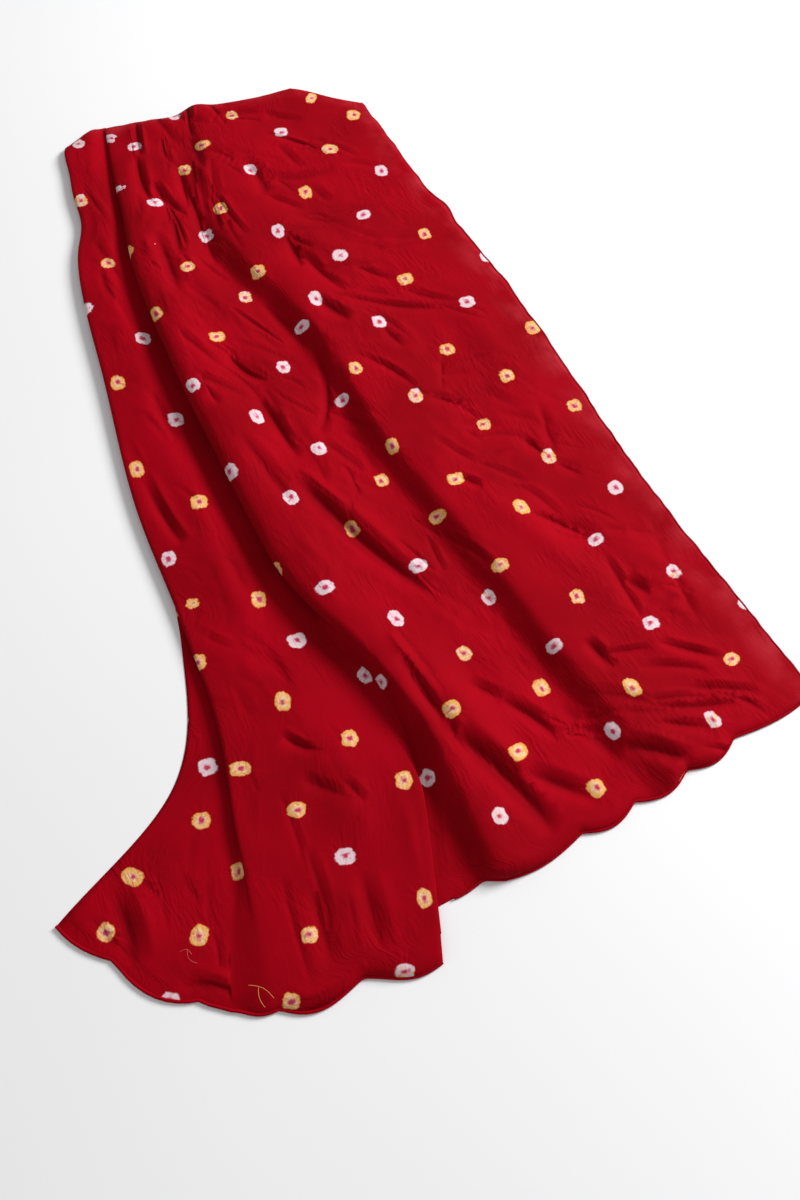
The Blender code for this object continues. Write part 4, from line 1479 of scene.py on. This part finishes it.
@dataclass
class RolledHem:
    """The narrow rolled hem along the scalloped edge, and the thin seam along the right edge."""

    radius: float = 1.5 * MM
    seam_radius: float = 0.7 * MM

    def tube(self, name: str, runs: list[np.ndarray], radius: float) -> bpy.types.Object:
        """A round tube along one or more runs of points.

        Args:
            name: the piece's name.
            runs: the points of each run.
            radius: the tube's radius.

        Returns:
            The tube as a mesh.
        """
        curve = bpy.data.curves.new(name, "CURVE")
        curve.dimensions = "3D"
        curve.bevel_depth = radius
        curve.bevel_resolution = 1
        curve.use_fill_caps = True
        for run in runs:
            spline = curve.splines.new("POLY")
            spline.points.add(len(run) - 1)
            for point, place in zip(spline.points, run):
                point.co = (*place, 1.0)
        holder = bpy.data.objects.new(name, curve)
        bpy.context.scene.collection.objects.link(holder)
        mesh = bpy.data.meshes.new_from_object(holder)
        bpy.data.objects.remove(holder)
        mesh.name = name
        mesh.shade_smooth()
        piece = bpy.data.objects.new(name, mesh)
        bpy.context.scene.collection.objects.link(piece)
        return piece

    def build(self, sheet: Sheet, materials: ClothMaterials) -> list[bpy.types.Object]:
        """Lays the hem and the seam along the sheet's edges.

        Args:
            sheet: the draped sheet.
            materials: the cloth's materials.

        Returns:
            The hem and the seam.
        """
        places = sheet.weft.columns()
        hem = sheet.points[-1].copy()
        hem[:, 2] = np.maximum(hem[:, 2], self.radius)
        first = next(i for i, place in enumerate(places) if place[0] is Stretch.INNER_TURN)
        again = next(i for i, place in enumerate(places) if place[0] is Stretch.RISE and place[1] > 0.34)
        rolled = self.tube("rolled_hem", [hem[:first], hem[again:]], self.radius)
        side = sheet.points[:, -1].copy()
        side[:, 2] = np.maximum(side[:, 2], self.seam_radius)
        seam = self.tube("edge_seam", [side], self.seam_radius)
        cotton = materials.cotton
        rolled.data.materials.append(materials.trim("rolled hem", (cotton.red, cotton.deep_red)))
        seam.data.materials.append(materials.trim("edge seam", (cotton.seam_red, cotton.red)))
        return [rolled, seam]


@dataclass
class LooseThreads:
    """The few thread ends that stand out of the hem and the cloth."""

    radius: float = 0.18 * MM
    # Each end: from (x, y), to (x, y), how far its middle bows, how high over the surface.
    ends: tuple[tuple[tuple[float, float], tuple[float, float], float, float], ...] = (
        ((-0.178, -0.472), (-0.168, -0.474), 0.003, 0.0095),
        ((-0.172, -0.470), (-0.163, -0.481), -0.003, 0.0095),
        ((-0.120, -0.498), (-0.099, -0.508), 0.003, 0.0085),
        ((-0.112, -0.499), (-0.106, -0.515), -0.002, 0.0080),
    )

    def build(self, hem: RolledHem, materials: ClothMaterials) -> bpy.types.Object:
        """Lays the thread ends.

        Args:
            hem: the hem, which makes the tubes.
            materials: the cloth's materials.

        Returns:
            The thread ends as one mesh.
        """
        runs = []
        for start, end, bow, height in self.ends:
            run = Vector(end) - Vector(start)
            side = Vector((-run.y, run.x)).normalized()
            shares = [i / 8 for i in range(9)]
            bowed = [Vector(start) + run * f + side * bow * math.sin(math.pi * f) for f in shares]
            runs.append(np.array([(*place, height) for place in bowed]))
        threads = hem.tube("loose_threads", runs, self.radius)
        ties = materials.ties
        threads.data.materials.append(materials.trim("thread ends", (ties.orange, ties.core)))
        return threads


# The studio


@dataclass
class Studio:
    """The pale floor, the soft light and the camera."""

    floor: PaleFloor
    floor_size: float = 12.0
    camera_place: tuple[float, float, float] = (0.003, -0.615, 1.0)
    camera_tilt: float = 25.0
    lens: float = 35.0
    light_place: tuple[float, float, float] = (2.3, 1.5, 1.7)
    light_size: float = 1.3
    light_power: float = 150.0
    sky: float = 0.46

    def build(self) -> None:
        """Builds the floor, the light, the sky and the camera."""
        self.lay_floor()
        self.light()
        self.set_camera()
        bpy.context.scene.view_settings.view_transform = "Standard"

    def lay_floor(self) -> None:
        """Lays the pale floor just below the cloth."""
        bm = bmesh.new()
        bmesh.ops.create_grid(bm, x_segments=1, y_segments=1, size=self.floor_size / 2)
        mesh = bpy.data.meshes.new("floor")
        bm.to_mesh(mesh)
        bm.free()
        floor = bpy.data.objects.new("floor", mesh)
        bpy.context.scene.collection.objects.link(floor)
        material = bpy.data.materials.new(self.floor.name)
        material.use_nodes = True
        graph = Graph(material.node_tree)
        shader = material.node_tree.nodes["Principled BSDF"]
        shader.inputs["Roughness"].default_value = self.floor.roughness
        place = graph.node("ShaderNodeTexCoord").outputs["Object"]
        tone = graph.step(graph.noise(place, 1.3, 2.0), 0.3, 0.7)
        shade = tuple(value * 0.97 for value in self.floor.colour)
        colour = graph.blend(tone, (*self.floor.colour, 1.0), (*shade, 1.0))
        graph.feed(shader.inputs["Base Color"], colour)
        floor.data.materials.append(material)

    def light(self) -> None:
        """Sets a large soft light at the upper right, and an even sky."""
        data = bpy.data.lights.new("window", "AREA")
        data.shape = "DISK"
        data.size = self.light_size
        data.energy = self.light_power
        lamp = bpy.data.objects.new("window", data)
        bpy.context.scene.collection.objects.link(lamp)
        lamp.location = self.light_place
        aim = Vector((0.0, 0.0, 0.0)) - Vector(self.light_place)
        lamp.rotation_euler = aim.to_track_quat("-Z", "Y").to_euler()
        world = bpy.data.worlds.new("soft sky")
        world.use_nodes = True
        sky = world.node_tree.nodes["Background"]
        sky.inputs["Color"].default_value = (1.0, 1.0, 1.0, 1.0)
        sky.inputs["Strength"].default_value = self.sky
        bpy.context.scene.world = world

    def set_camera(self) -> None:
        """Sets the camera at the photograph's angle."""
        data = bpy.data.cameras.new("camera")
        data.lens = self.lens
        data.sensor_width = 36.0
        camera = bpy.data.objects.new("camera", data)
        bpy.context.scene.collection.objects.link(camera)
        camera.location = self.camera_place
        camera.rotation_euler = (math.radians(self.camera_tilt), 0.0, 0.0)
        bpy.context.scene.camera = camera


def main() -> None:
    """Builds the cloth and its studio, and reports each piece."""
    logging.basicConfig(level=logging.INFO, format="%(name)s: %(message)s")
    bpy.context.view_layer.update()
    materials = ClothMaterials(DyedCotton(), TieFinish())
    sheet = Sheet(Folds(), Weft(), DotLattice(), materials.ties)
    cloth = sheet.build(materials.cloth())
    LOG.info("%s: %d faces", cloth.name, len(cloth.data.polygons))
    hem = RolledHem()
    trims = hem.build(sheet, materials)
    trims.append(LooseThreads().build(hem, materials))
    for trim in trims:
        LOG.info("%s: %d faces", trim.name, len(trim.data.polygons))
    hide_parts(CLOTH_NODE)
    for piece in (cloth, *trims):
        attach(piece, "root")
    Studio(PaleFloor()).build()
    LOG.info("studio: floor, light and camera")


if __name__ == "__main__":
    main()
